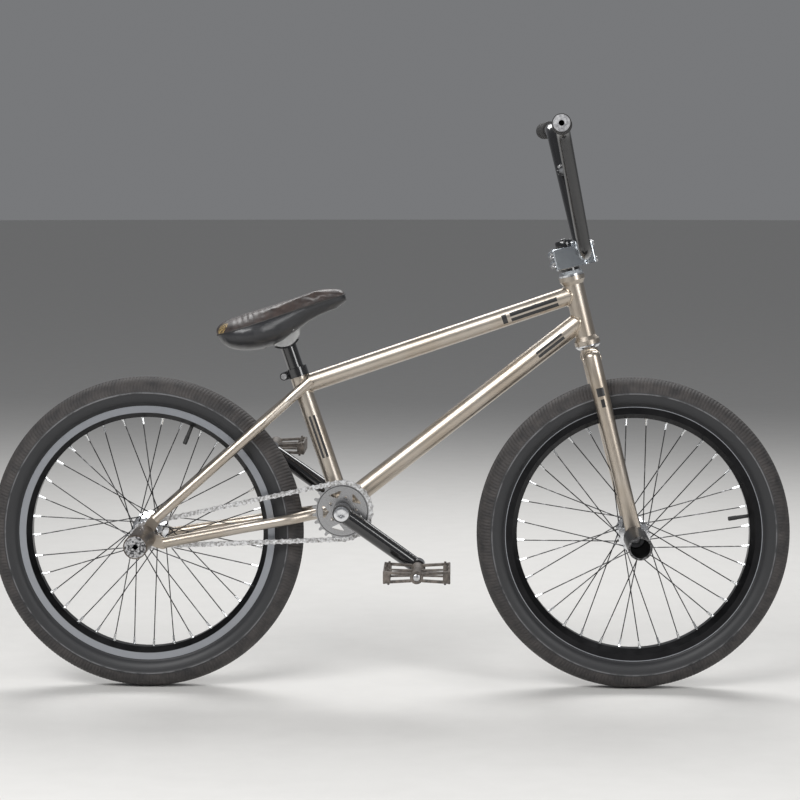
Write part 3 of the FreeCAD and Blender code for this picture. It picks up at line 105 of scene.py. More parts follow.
class Finish:
    """A procedural material: one shader, whose patterns are made with node()."""

    def __init__(self, name, **constants):
        self.material = bpy.data.materials.new(name)
        self.material.use_nodes = True
        self.tree = self.material.node_tree
        self.shader = self.tree.nodes["Principled BSDF"]
        self.feed({key.replace("_", " ").title(): value for key, value in constants.items()})

    def join(self, socket, value):
        if isinstance(value, Link):
            self.tree.links.new(value.socket, socket)
        elif socket.type == "RGBA" and len(value) == 3:
            socket.default_value = (*value, 1.0)
        else:
            socket.default_value = value

    def feed(self, sockets):
        names = {"Ior": "IOR"}
        for name, value in sockets.items():
            self.join(self.shader.inputs[names.get(name, name)], value)

    def node(self, kind, settings=None, sockets=None, output=0):
        item = self.tree.nodes.new(kind)
        for name, value in (settings or {}).items():
            if name == "stops":
                ramp = item.color_ramp.elements
                for k, (place, colour) in enumerate(value):
                    stop = ramp[k] if k < 2 else ramp.new(place)
                    stop.position = place
                    stop.color = (*colour, 1.0)
            else:
                setattr(item, name, value)
        for name, value in (sockets or {}).items():
            self.join(item.inputs[name], value)
        return Link(self, item.outputs[output])

    def place(self):
        return self.node("ShaderNodeTexCoord", output=3)

    def axes(self, vector):
        return [self.node("ShaderNodeSeparateXYZ", None, {0: vector}, k) for k in range(3)]

    def noise(self, scale, detail=3.0, vector=None, rough=0.55):
        return self.node("ShaderNodeTexNoise", None, {
            "Vector": vector or self.place(), "Scale": scale, "Detail": detail,
            "Roughness": rough})

    def mix(self, factor, first, second):
        return self.node("ShaderNodeMix", {"data_type": "RGBA"},
                         {0: factor, 6: first, 7: second}, 2)

    def mottle(self, factor, first, second, rough=None):
        """Feeds two mixed colours, and the roughness if one is given."""
        self.feed({"Base Color": self.mix(factor, first, second)})
        if rough is not None:
            self.feed({"Roughness": rough})

    def bump(self, height, depth, strength=1.0):
        """Feeds the surface direction with a relief of that depth in metres."""
        self.feed({"Normal": self.node("ShaderNodeBump", None, {
            "Height": height, "Distance": depth, "Strength": strength})})

    def dot(self, vector, axis):
        return self.node("ShaderNodeVectorMath", {"operation": "DOT_PRODUCT"},
                         {0: vector, 1: tuple(axis)}, 1)

    def place_from(self, origin):
        return self.node("ShaderNodeVectorMath", {"operation": "SUBTRACT"},
                         {0: self.place(), 1: tuple(origin)})

    def combed(self, axis, pull=0.97):
        """Object coordinates squeezed along an axis, for grain that runs that way."""
        along = self.dot(self.place(), axis)
        part = self.node("ShaderNodeVectorMath", {"operation": "SCALE"},
                         {0: tuple(axis), "Scale": along * pull})
        return self.node("ShaderNodeVectorMath", {"operation": "SUBTRACT"},
                         {0: self.place(), 1: part})

    def reach(self, centre):
        """Distance from a cross axle that passes through the centre."""
        x, _, z = self.axes(self.place())
        dx = x - centre.x
        dz = z - centre.z
        return (dx * dx + dz * dz).math("SQRT")


def piece(name, bm, finish, body, replaces=(), crease=38.0):
    """A finished bmesh becomes a named piece that rides on its body."""
    bmesh.ops.recalc_face_normals(bm, faces=bm.faces[:])
    mesh = bpy.data.meshes.new(name)
    bm.to_mesh(mesh)
    bm.free()
    mesh.materials.append(finish.material)
    mesh.shade_smooth()
    mesh.set_sharp_from_angle(angle=math.radians(crease))
    item = bpy.data.objects.new(name, mesh)
    scene.collection.objects.link(item)
    if body is None:
        return item
    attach(item, body)
    if replaces:
        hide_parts(*replaces)
    return item


floor_finish = Finish("pale_floor", base_color=(0.70, 0.69, 0.67), roughness=0.62)
speckle = floor_finish.noise(18.0, 4.0)
floor_finish.mottle(speckle, (0.67, 0.66, 0.64), (0.73, 0.72, 0.70))
FLOOR_RADIUS = 40.0
FLOOR_DROP = -0.0004
floor = bmesh.new()
bmesh.ops.create_circle(floor, cap_ends=True, segments=96, radius=FLOOR_RADIUS,
                        matrix=Matrix.Translation((0, 0, FLOOR_DROP)))
piece("floor", floor, floor_finish, None)

SOFT_BOXES = (  # place, aim, width, height, watts
    ((-1.5, -2.4, 2.5), (-0.1, 0, 0.35), 2.4, 1.3, 92.0),
    ((2.3, -2.6, 1.7), (0.2, 0, 0.4), 1.2, 1.8, 42.0),
    ((0.3, 1.9, 2.6), (0.0, 0, 0.3), 3.2, 1.2, 74.0),
)
for k, (place, aim, width, height, watts) in enumerate(SOFT_BOXES):
    lamp = bpy.data.lights.new(f"soft_box_{k}", "AREA")
    lamp.shape = "RECTANGLE"
    lamp.size = width
    lamp.size_y = height
    lamp.energy = watts
    holder = bpy.data.objects.new(lamp.name, lamp)
    holder.location = place
    holder.rotation_mode = "QUATERNION"
    holder.rotation_quaternion = (Vector(aim) - Vector(place)).to_track_quat("-Z", "Y")
    scene.collection.objects.link(holder)
world = bpy.data.worlds.new("studio")
world.use_nodes = True
sky = world.node_tree.nodes["Background"].inputs
sky["Color"].default_value = (0.55, 0.56, 0.58, 1.0)
sky["Strength"].default_value = 0.34
scene.world = world


# ---- frame tubes ----
# Welded chromoly tubes left in raw steel under clear gloss: a warm champagne grey with fine
# brushing along each tube, random clouds of a darker straw tone, and black stripes.
joints = {joint["name"]: joint for joint in frame["joints"]}
steer_base = Vector(joints["steering"]["pos_m"])
steer_up = Vector(joints["steering"]["axis"])
steer_forward = Vector((steer_up.z, 0, -steer_up.x))
bracket = Vector(joints["crank_spin"]["pos_m"])
rear_hub = Vector(joints["rear_wheel_spin"]["pos_m"])
front_hub = Vector(joints["front_wheel_spin"]["pos_m"])
post_up = Vector(joints["seatpost_slide"]["axis"])
LEFT = Vector((0, 1, 0))
SIDES = (-1, 1)
STRIPE_EDGE = 0.0002


def on_steering(up, forward=0.0, side=0.0):
    """A point by millimetres up the steering axis, forward of it and to the left."""
    return (steer_base + steer_up * up * MM + steer_forward * forward * MM
            + Vector((0, side * MM, 0)))


def paint(finish, *names):
    for name in names:
        for holder in frame["nodes"][name].material_slots:
            holder.material = finish.material


def raw_steel(name, axis, stripes=(), start=None):
    """Clear coated steel, brushed along the axis, with stripes as (from, to, low, high)."""
    steel = Finish(name, metallic=1.0, coat_roughness=0.08, ior=1.5)
    steel.feed({"Coat Weight": 0.45})
    grain = steel.noise(420.0, 3.0, steel.combed(axis))
    cloud = steel.noise(9.0, 3.0)
    colour = steel.mix(cloud.above(0.5, 0.16), (0.42, 0.35, 0.27), (0.52, 0.47, 0.41))
    colour = steel.mix(grain.above(0.5, 0.25) * 0.30, colour, (0.66, 0.61, 0.55))
    rough = 0.26 + grain * 0.18
    metal = 1.0
    if stripes:
        origin = start if start is not None else Vector()
        shifted = steel.place_from(origin)
        cross = LEFT.cross(axis).normalized()
        along, height = (steel.dot(shifted, direction) for direction in (axis, cross))
        mask = 0.0
        for first, last, low, high in stripes:
            bar = (along.between(first * MM, last * MM, STRIPE_EDGE)
                   * height.between(low * MM, high * MM, STRIPE_EDGE))
            mask = bar + mask
        colour = steel.mix(mask, colour, (0.012, 0.012, 0.013))
        rough = rough + mask * 0.05
        metal = 1 - mask
    steel.feed({"Base Color": colour, "Roughness": rough, "Metallic": metal})
    steel.bump(grain, 0.00003, 0.35)
    return steel


top_tube_start = bracket + post_up * 211.0 * MM
top_tube_end = on_steering(402.6)
down_tube_start = bracket + Vector((0, 0, 4.0 * MM))
down_tube_end = on_steering(359.3)
top_tube_run = (top_tube_end - top_tube_start).normalized()
down_tube_run = (down_tube_end - down_tube_start).normalized()
paint(raw_steel("raw_top_tube", top_tube_run, (
    (-112, -32, 4.0, 9.5), (-112, -32, -5.5, 1.0), (-126, -118, -5.5, 9.5)), top_tube_end),
    "top_tube")
paint(raw_steel("raw_down_tube", down_tube_run, (
    (-92, -40, 1.5, 6.5), (-92, -40, -5.0, -1.0)), down_tube_end), "down_tube")
paint(raw_steel("raw_seat_tube", post_up, (
    (88, 160, -5.5, -1.5), (88, 160, 1.5, 5.5)), bracket), "seat_tube")
paint(raw_steel("raw_head_tube", steer_up), "head_tube")
seat_stay_run = (Vector((-0.128, 0, 0.5054)) - Vector((-0.379, 0, 0.283))).normalized()
chain_stay_run = Vector((0.985, 0, 0.174))
paint(raw_steel("raw_seat_stays", seat_stay_run), "seat_stays")
paint(raw_steel("raw_chain_stays", chain_stay_run), "chain_stays", "stay_bridges")
paint(raw_steel("raw_bracket_shell", LEFT), "bottom_bracket_shell")
paint(raw_steel("raw_dropouts", Vector((1, 0, 0))), "rear_dropouts")


# ---- weld beads ----
# A rippled bead of filler runs round the five joints of the main tubes, and later round the
# crown and the crossbar ends. The heat of welding has browned it.
def loft(bm, rings, closed=False):
    """Bridges rings of vertices in order; the ends are capped unless the row closes."""
    loops = []
    for place, segments in rings:
        made = bmesh.ops.create_circle(bm, cap_ends=False, segments=segments, radius=1.0,
                                       matrix=place)
        loops.append(list({edge for vert in made["verts"] for edge in vert.link_edges}))
    pairs = list(zip(loops, loops[1:] + loops[:1] if closed else loops[1:]))
    for before, after in pairs:
        bmesh.ops.bridge_loops(bm, edges=before + after)
    if not closed:
        for loop in (loops[0], loops[-1]):
            bmesh.ops.contextual_create(bm, geom=loop)


def basis(origin, out, side, along, scale=(1.0, 1.0, 1.0)):
    """A matrix that takes X, Y and Z to three directions at a point."""
    columns = [direction * size for direction, size in zip((out, side, along), scale)]
    turn = Matrix([columns[0], columns[1], columns[2]]).transposed().to_4x4()
    return Matrix.Translation(origin) @ turn


def ring(point, away, along, size):
    """A small round section across a bead or cord that runs along a direction."""
    normal = (away - along * away.dot(along)).normalized()
    return basis(point, normal, along.cross(normal), along, (size,) * 3), 8


weld_finish = Finish("weld_bead", metallic=1.0, roughness=0.32, coat_weight=0.6)
burn = weld_finish.noise(160.0, 3.0)
weld_finish.mottle(burn, (0.50, 0.40, 0.29), (0.66, 0.60, 0.52))
weld_finish.bump(weld_finish.noise(900.0, 2.0), 0.00006)
BEAD_STEPS = 72
BEAD_RADIUS = 1.7 * MM
BEAD_RIPPLE = 0.16
TOP_TUBE_RADIUS = 0.0150
DOWN_TUBE_RADIUS = 0.0160
SEAT_TUBE_RADIUS = 0.0143
HEAD_TUBE_RADIUS = 0.0165
SHELL_RADIUS = 0.0230
ALONG_TUBE = 0.1  # metres from one joint, where the search for the other starts


def bead(bm, start, run, radius, main_point, main_axis, main_radius):
    """A bead where a tube that runs one way meets the outside of another."""
    out = run.cross(main_axis).normalized()
    side = run.cross(out).normalized()
    points = []
    flat = run - main_axis * run.dot(main_axis)
    for k in range(BEAD_STEPS):
        angle = 2 * math.pi * k / BEAD_STEPS
        foot = start + (out * math.cos(angle) + side * math.sin(angle)) * radius
        gap = foot - main_point
        gap = gap - main_axis * gap.dot(main_axis)
        a, b, c = flat.dot(flat), 2 * gap.dot(flat), gap.dot(gap) - main_radius ** 2
        root = math.sqrt(max(b * b - 4 * a * c, 0.0))
        points.append(foot + run * ((-b - root) / (2 * a)))
    rings = []
    for k, point in enumerate(points):
        along = (points[(k + 1) % BEAD_STEPS] - points[k - 1]).normalized()
        away = (point - start - run * (point - start).dot(run)).normalized()
        rings.append(ring(point, away, along, BEAD_RADIUS * (1.0 + BEAD_RIPPLE * (k % 2))))
    loft(bm, rings, closed=True)


beads = bmesh.new()
bead(beads, top_tube_start + top_tube_run * ALONG_TUBE, top_tube_run, TOP_TUBE_RADIUS,
     on_steering(0), steer_up, HEAD_TUBE_RADIUS)
bead(beads, top_tube_end - top_tube_run * ALONG_TUBE, -top_tube_run, TOP_TUBE_RADIUS,
     bracket, post_up, SEAT_TUBE_RADIUS)
bead(beads, down_tube_start + down_tube_run * ALONG_TUBE, down_tube_run, DOWN_TUBE_RADIUS,
     on_steering(0), steer_up, HEAD_TUBE_RADIUS)
bead(beads, down_tube_end - down_tube_run * (2 * ALONG_TUBE), -down_tube_run,
     DOWN_TUBE_RADIUS, bracket, LEFT, SHELL_RADIUS)
bead(beads, bracket + post_up * ALONG_TUBE, -post_up, SEAT_TUBE_RADIUS,
     bracket, LEFT, SHELL_RADIUS)
piece("frame_weld_beads", beads, weld_finish, "frame")


# ---- headset ----
# A polished aluminium cover above, a crown race below, and plated steel bearings between.
# The spacer, bars, cranks, seatpost and seat clamp are painted gloss black.
polished = Finish("polished_alloy", base_color=(0.78, 0.79, 0.81), metallic=1.0)
rings_of_polish = polished.noise(260.0, 3.0)
polished.feed({"Roughness": 0.10 + rings_of_polish * 0.16,
               "Base Color": polished.mix(rings_of_polish, (0.70, 0.71, 0.73),
                                          (0.83, 0.84, 0.86))})
polished.bump(rings_of_polish, 0.00002, 0.3)
plated = Finish("plated_steel", metallic=1.0)
dull = plated.noise(120.0, 4.0)
plated.feed({"Base Color": plated.mix(dull.above(0.5, 0.2), (0.42, 0.42, 0.43),
                                      (0.66, 0.66, 0.67)),
             "Roughness": 0.16 + dull * 0.28})
paint(polished, "headset_crown_race", "headset_top_cover")
paint(plated, "headset_bearings", "bottom_bracket_bearings", "front_hub_bearings",
      "rear_hub_bearings", "rear_axle", "front_axle", "crank_spindle", "pedal_axles",
      "seat_pivot_bolt", "seat_clamp_bolt")

gloss_black = Finish("gloss_black_paint", coat_weight=1.0, coat_roughness=0.06)
wear = gloss_black.noise(34.0, 5.0, rough=0.65)
gloss_black.mottle(wear.above(0.74, 0.03), (0.008, 0.008, 0.009), (0.030, 0.028, 0.026),
                   0.16 + wear * 0.06)
paint(gloss_black, "headset_spacer", "seat_clamp", "seatpost", "handlebar",
      "handlebar_crossbar", "crank_arm_right", "crank_arm_left")


# ---- fork ----
# Two tapered chromoly legs, domed at the top, flattened towards the dropouts and ending in
# a round eye each. They are welded to a short crown tube under the steerer.
raw_fork = raw_steel("raw_fork", steer_up, ((236, 250, -6.0, 6.0), (218, 231, -3.0, 3.0)),
                     steer_base)
LEG_STATIONS = (  # up the leg, half depth, half thickness
    (309.6, 4.0, 4.0), (308.6, 9.0, 9.0), (306.0, 12.4, 12.4), (301.5, 13.8, 13.8),
    (260.0, 13.5, 13.4), (200.0, 13.1, 12.7), (150.0, 12.8, 12.1), (110.0, 12.5, 11.3),
    (84.0, 12.4, 9.4), (66.0, 12.3, 6.4), (50.0, 12.2, 4.6), (34.0, 12.4, 3.7),
    (14.0, 12.9, 3.4),
)
LEG_TOP_UP, LEG_LOW_UP = 306.0, 50.0
LEG_TOP_SIDE, LEG_LOW_SIDE = 44.5, 53.0
EYE_SIDE = 53.5
EYE_BLEND_UP, EYE_BLEND_SPAN = 84.0, 50.0
CROWN_UP, CROWN_RADIUS, LEG_TOP_RADIUS = 297.0, 0.0135, 0.0139


def fresh(bm, known):
    return [vert for vert in bm.verts if vert not in known]


def lathe(bm, outline, base, direction, steps=48):
    """Turns an outline of (radius, height) in millimetres about a direction from the base."""
    known = set(bm.verts)
    verts = [bm.verts.new((r * MM, 0, h * MM)) for r, h in outline]
    on_axis = outline[0][0] == 0 and outline[-1][0] == 0
    ends = verts[1:] if on_axis else verts[1:] + verts[:1]
    edges = [bm.edges.new(pair) for pair in zip(verts, ends)]
    bmesh.ops.spin(bm, geom=verts + edges, cent=(0, 0, 0), axis=(0, 0, 1),
                   angle=2 * math.pi, steps=steps, use_merge=True)
    bmesh.ops.remove_doubles(bm, verts=fresh(bm, known), dist=1e-7)
    made = fresh(bm, known)
    turn = direction.to_track_quat("Z", "Y").to_matrix().to_4x4()
    bmesh.ops.transform(bm, matrix=Matrix.Translation(base) @ turn, verts=made)
    return made


for side, word in zip(SIDES, ("right", "left")):
    leg = bmesh.new()
    rings = []
    for up, depth, thick in LEG_STATIONS:
        share = (max(up, LEG_LOW_UP) - LEG_LOW_UP) / (LEG_TOP_UP - LEG_LOW_UP)
        offset = LEG_LOW_SIDE + share * (LEG_TOP_SIDE - LEG_LOW_SIDE)
        inward = max(0.0, min(1.0, (EYE_BLEND_UP - up) / EYE_BLEND_SPAN))
        offset = offset + (EYE_SIDE - offset) * inward
        rings.append((basis(on_steering(up, 0, side * offset), steer_forward,
                            LEFT, steer_up,
                            (depth * MM, thick * MM, MM)), 40))
    loft(leg, rings)
    lathe(leg, [(4.9, -3.5), (12.7, -3.5), (13.5, -2.7), (13.5, 2.7), (12.7, 3.5), (4.9, 3.5)],
          front_hub + Vector((0, side * EYE_SIDE * MM, 0)), LEFT)
    piece(f"fork_blade_{word}", leg, raw_fork, "fork", (f"fork_leg_{word}",))
paint(raw_steel("raw_crown", LEFT), "fork_steerer")
crown_beads = bmesh.new()
for side in SIDES:
    bead(crown_beads, on_steering(CROWN_UP), Vector((0, side, 0)), CROWN_RADIUS,
         on_steering(0, 0, side * LEG_TOP_SIDE), steer_up, LEG_TOP_RADIUS)
piece("fork_weld_beads", crown_beads, weld_finish, "fork")


# ---- stem ----
# A front-load stem milled from a solid block and polished: two grooves run round it, and it
# has a bolted faceplate and two pinch bolts behind the steerer.
def rounded(bm, geom, offset, segments, affect="EDGES"):
    return bmesh.ops.bevel(bm, geom=list(geom), offset=offset * MM, offset_type="OFFSET",
                           segments=segments, profile=0.5, affect=affect, material=-1)


def block(bm, place, length, width, height, edge=1.0, segments=3):
    """A box with rounded edges, its sizes in millimetres along the matrix axes."""
    made = bmesh.ops.create_cube(bm, size=1.0, matrix=place @ Matrix.Diagonal(
        (length * MM, width * MM, height * MM, 1.0)))
    rounded(bm, {e for vert in made["verts"] for e in vert.link_edges}, edge, segments)


def steering_place(up, forward, side=0.0):
    return basis(on_steering(up, forward, side), steer_forward, LEFT, steer_up)


def layered_block(bm, forward, length, half_width, levels, corner=3.0):
    """A block drawn up in layers, so that narrower layers leave grooves right round it."""
    made = bmesh.ops.create_grid(bm, x_segments=1, y_segments=1, size=0.5, matrix=(
        steering_place(levels[0][0], forward)
        @ Matrix.Diagonal((length * MM, 2 * half_width * MM, 1.0, 1.0))))
    face = made["verts"][0].link_faces[0]
    done = rounded(bm, face.verts, corner, 4, "VERTICES")
    face = max(done["faces"] + [f for v in done["verts"] for f in v.link_faces],
               key=lambda f: f.calc_area())
    centre = on_steering(levels[0][0], forward)
    inset_now = levels[0][1]
    up_now = levels[0][0]
    for up, inset in levels[1:]:
        moved = bmesh.ops.extrude_face_region(bm, geom=[face])
        verts = [v for v in moved["geom"] if isinstance(v, bmesh.types.BMVert)]
        if face.is_valid and up_now != levels[0][0]:
            bmesh.ops.delete(bm, geom=[face], context="FACES_ONLY")
        bmesh.ops.translate(bm, verts=verts, vec=steer_up * (up - up_now) * MM)
        grow_x = (length - 2 * inset) / (length - 2 * inset_now)
        grow_y = (half_width - inset) / (half_width - inset_now)
        pivot = centre + steer_up * (up - levels[0][0]) * MM
        space = basis(pivot, steer_forward, LEFT, steer_up)
        bmesh.ops.transform(bm, verts=verts, matrix=(
            space @ Matrix.Diagonal((grow_x, grow_y, 1.0, 1.0)) @ space.inverted()))
        face = [f for f in moved["geom"] if isinstance(f, bmesh.types.BMFace)][0]
        inset_now = inset
        up_now = up


milled = Finish("milled_alloy", metallic=1.0)
tool_marks = milled.noise(520.0, 2.0, milled.combed(LEFT, 0.94))
milled.mottle(tool_marks, (0.50, 0.54, 0.58), (0.70, 0.74, 0.78), 0.14 + tool_marks * 0.14)
milled.bump(tool_marks, 0.00002, 0.4)
STEM_LEVELS = ((446.0, 1.0), (447.0, 0.0), (449.6, 0.0), (449.7, 1.4), (451.4, 1.4),
               (451.5, 0.0), (474.4, 0.0), (474.5, 1.4), (476.2, 1.4), (476.3, 0.0),
               (479.0, 0.0), (480.0, 1.0))
STEM_HALF_WIDTH = 26.0
PINCH_BOLTS_UP = (456.0, 471.5)
PINCH_BOLTS_FORWARD = -23.5
PLATE_BOLTS_UP = (450.2, 476.8)
stem = bmesh.new()
layered_block(stem, 3.5, 49.0, STEM_HALF_WIDTH, STEM_LEVELS)
block(stem, steering_place(482.4, 14.5), 9.0, 40.0, 7.2, 1.2)
for up in PINCH_BOLTS_UP:
    lathe(stem, [(3.1, -20), (5.4, -20), (6.2, -19.2), (6.2, 19.2), (5.4, 20), (3.1, 20)],
          on_steering(up, PINCH_BOLTS_FORWARD), LEFT, 32)
piece("stem_block", stem, milled, "fork", ("stem_body",))
plate = bmesh.new()
layered_block(plate, 36.25, 13.5, STEM_HALF_WIDTH, STEM_LEVELS, 2.6)
piece("stem_face_plate", plate, milled, "fork", ("stem_faceplate",))

# Socket head bolts: a round head with a hexagon socket sunk into it.
HEX = 6


def socket_bolt(bm, base, direction, radius, height, socket, steps=32):
    """A bolt head that stands on its base, with a hexagon socket in the top."""
    top = height * 0.86
    made = lathe(bm, [(0, 0), (radius, 0), (radius, top), (radius * 0.86, height),
               (socket * 1.12, height), (socket, height * 0.93), (socket * 0.98, height * 0.35),
               (0, height * 0.28)], Vector(), Vector((0, 0, 1)), steps)
    for vert in made:
        flat = math.hypot(vert.co.x, vert.co.y)
        if vert.co.z > height * 0.3 * MM and flat < socket * 1.05 * MM and flat > 0:
            angle = math.atan2(vert.co.y, vert.co.x)
            wedge = (angle + math.pi / HEX) % (2 * math.pi / HEX) - math.pi / HEX
            pull = math.cos(math.pi / HEX) / math.cos(wedge)
            vert.co.x *= pull
            vert.co.y *= pull
    turn = direction.to_track_quat("Z", "Y").to_matrix().to_4x4()
    bmesh.ops.transform(bm, matrix=Matrix.Translation(base) @ turn, verts=made)


bolts = bmesh.new()
for up in PLATE_BOLTS_UP:
    for side in SIDES:
        socket_bolt(bolts, on_steering(up, 42.6, side * 19.5), steer_forward, 4.0, 4.2, 2.2)
for up in PINCH_BOLTS_UP:
    socket_bolt(bolts, on_steering(up, PINCH_BOLTS_FORWARD, -19.8), -LEFT, 5.0, 5.0, 2.6)
    lathe(bolts, [(0, 0), (3.0, 0), (3.0, 1.6), (2.4, 2.2), (0, 2.2)],
          on_steering(up, PINCH_BOLTS_FORWARD, 19.6), LEFT, 24)
piece("stem_bolt_heads", bolts, plated, "fork", ("stem_bolts",))
cap = bmesh.new()
lathe(cap, [(0, 0), (15.0, 0), (15.0, 1.6), (14.3, 2.2), (14.3, 8.8), (12.9, 10.8), (7.0, 11.2),
            (6.4, 10.0), (0, 10.0)], on_steering(480.1), steer_up, 64)
socket_bolt(cap, on_steering(489.9), steer_up, 4.6, 3.4, 2.5)
piece("stem_cap", cap, gloss_black, "fork", ("stem_top_cap",))


# ---- grips and bar plugs ----
# Ribbed rubber grips pushed over the bar ends, each shut by a grey plastic plug. The
# crossbar's ends are welded to the bars and painted over.
grip_rubber = Finish("grip_rubber", base_color=(0.020, 0.020, 0.021), roughness=0.62)
crumbs = grip_rubber.noise(700.0, 3.0)
grip_rubber.mottle(crumbs, (0.014, 0.014, 0.015), (0.034, 0.032, 0.031), 0.50 + crumbs * 0.22)
grip_rubber.bump(crumbs, 0.00008, 0.6)
plug_grey = Finish("plug_plastic", roughness=0.42)
scuff = plug_grey.noise(260.0, 4.0)
plug_grey.mottle(scuff.above(0.52, 0.14), (0.20, 0.20, 0.21), (0.42, 0.42, 0.43),
                 0.34 + scuff * 0.25)
plug_grey.bump(scuff, 0.00006, 0.5)
GRIP_LENGTH = 118.0
RIBS = 26
CROSSBAR_RADIUS = 0.0080
BAR_RADIUS = 0.0111


def bar_shoulder(side):
    """Where the rising part of the bar turns outwards."""
    return on_steering(669.0, 32.5, side * 190.0)


grips = bmesh.new()
plugs = bmesh.new()
for side in SIDES:
    tip = on_steering(672.0, 25.0, side * 357.0)
    inward = (bar_shoulder(side) - tip).normalized()
    outline = [(11.15, 0.4), (13.4, 0.4), (14.2, 1.4), (14.2, 4.0)]
    pitch = (GRIP_LENGTH - 14.0) / RIBS
    for k in range(RIBS):
        low = 5.0 + k * pitch
        outline += [(13.1, low), (13.1, low + pitch * 0.35), (14.1, low + pitch * 0.5),
                    (14.1, low + pitch * 0.9)]
    outline += [(13.0, GRIP_LENGTH - 8.0), (14.2, GRIP_LENGTH - 6.5),
                (15.4, GRIP_LENGTH - 3.4), (15.2, GRIP_LENGTH - 1.0),
                (13.4, GRIP_LENGTH), (11.15, GRIP_LENGTH)]
    lathe(grips, outline, tip, inward, 64)
    lathe(plugs, [(4.3, 3.4), (11.6, 3.4), (12.8, 2.5), (12.8, 0.6), (12.2, 0.0), (9.7, 0.0),
                  (9.7, -14.5), (4.3, -14.5)], tip, -inward, 56)
piece("grip_sleeves", grips, grip_rubber, "fork", ("grips",))
piece("grip_end_plugs", plugs, plug_grey, "fork", ("bar_end_plugs",))
bar_beads = bmesh.new()
for side in SIDES:
    low = on_steering(464.0, 28.0, side * 52.0)
    high = bar_shoulder(side)
    bead(bar_beads, on_steering(600.0, 31.0), Vector((0, side, 0)), CROSSBAR_RADIUS,
         low, (high - low).normalized(), BAR_RADIUS)
piece("crossbar_weld_beads", bar_beads, gloss_black, "fork")


# ---- tyres ----
# Moulded rubber, 2.25 inches wide: fine transverse sipes from the crown down each shoulder,
# a thin moulding rib, then a smooth sidewall down to the rim.
TREAD_PITCHES = 280
STEPS_PER_PITCH = 3
TYRE_OUTLINE = (  # across, radius: bead, sidewall, rib, shoulder, crown
    (17.0, 206.0), (17.0, 209.4), (19.4, 211.0), (23.2, 213.6), (26.2, 217.4), (28.0, 222.0),
    (28.9, 226.6), (29.1, 229.0), (29.7, 229.8), (29.7, 230.8), (29.1, 231.6), (28.8, 233.6),
    (28.2, 236.6), (27.2, 239.6), (25.7, 242.6), (23.7, 245.4), (21.2, 247.9), (18.2, 250.1),
    (14.8, 251.9), (11.0, 253.4), (7.0, 254.4), (4.4, 254.75), (3.8, 254.9), (0.0, 255.0))
TREAD_LOW = 232.6
SIPE_DEPTH = 0.9 * MM
SIPE_SLANT = 0.020
TYRE_HALF = 29.0
SECTION_CENTRE = 0.226
CENTRE_RIB_HALF = 4.2
SMOOTH_BELOW, SMOOTH_WITHIN = 251.7, 12.0
SECTORS = 20
ENDS = (("rear", rear_hub), ("front", front_hub))

# One sector is spun, then repeated round the wheel and joined.
outline = [*TYRE_OUTLINE, *[(-y, r) for y, r in reversed(TYRE_OUTLINE[:-1])]]
lining = [(y * 0.86, r - 3.4) for y, r in TYRE_OUTLINE[3::3]]
lining = [(-13.6, 206.0), *[(-y, r) for y, r in lining],
          *[(y, r) for y, r in reversed(lining)], (13.6, 206.0)]
steps = TREAD_PITCHES * STEPS_PER_PITCH
moulded = bmesh.new()
verts = [moulded.verts.new((r * MM, y * MM, 0)) for y, r in outline + lining]
ribs = [moulded.edges.new(pair) for pair in zip(verts, verts[1:] + verts[:1])]
bmesh.ops.spin(moulded, geom=verts + ribs, cent=(0, 0, 0), axis=(0, -1, 0),
               angle=2 * math.pi / SECTORS, steps=steps // SECTORS)
sector = moulded.verts[:] + moulded.edges[:] + moulded.faces[:]
for k in range(1, SECTORS):
    made = bmesh.ops.duplicate(moulded, geom=sector)["geom"]
    bmesh.ops.rotate(moulded, cent=(0, 0, 0),
                     matrix=Matrix.Rotation(-2 * math.pi * k / SECTORS, 3, "Y"),
                     verts=[v for v in made if isinstance(v, bmesh.types.BMVert)])
bmesh.ops.remove_doubles(moulded, verts=moulded.verts[:], dist=2e-6)
for vert in moulded.verts:
    across = abs(vert.co.y) / MM
    radius = math.hypot(vert.co.x, vert.co.z)
    if radius / MM < TREAD_LOW or radius / MM < SMOOTH_BELOW and across < SMOOTH_WITHIN:
        continue
    angle = math.atan2(vert.co.z, vert.co.x)
    step = round(angle / (2 * math.pi / steps)) % STEPS_PER_PITCH
    cut = step == STEPS_PER_PITCH - 1 and across > CENTRE_RIB_HALF
    away = Vector((vert.co.y, radius - SECTION_CENTRE)).normalized() * (SIPE_DEPTH if cut else 0.0)
    radius -= away.y
    angle += SIPE_SLANT * across / TYRE_HALF
    vert.co = (radius * math.cos(angle), vert.co.y - away.x, radius * math.sin(angle))

for end, hub in ENDS:
    rubber = Finish(f"{end}_tyre_rubber")
    radius = rubber.reach(hub)
    dust = rubber.noise(55.0, 5.0)
    fine = rubber.noise(900.0, 2.0)
    tread = radius.above(0.2326, 0.0006)
    side_colour = rubber.mix(fine, (0.016, 0.0165, 0.018), (0.028, 0.0285, 0.031))
    tread_colour = rubber.mix(dust.above(0.48, 0.2), (0.024, 0.023, 0.024),
                              (0.056, 0.050, 0.048))
    scuffed = radius.between(0.2294, 0.2314, 0.0003)
    colour = rubber.mix(tread, side_colour, tread_colour)
    colour = rubber.mix(scuffed * dust.above(0.45, 0.1), colour, (0.12, 0.12, 0.125))
    rubber.feed({"Base Color": colour, "Roughness": 0.46 + tread * 0.26 + fine * 0.08})
    rubber.bump(fine + dust * 0.6, 0.00010, 0.5)
    tyre = moulded.copy()
    bmesh.ops.translate(tyre, verts=tyre.verts[:], vec=hub)
    piece(f"{end}_tyre_tread", tyre, rubber, f"{end}_wheel", (f"{end}_tyre",),
          crease=50.0)


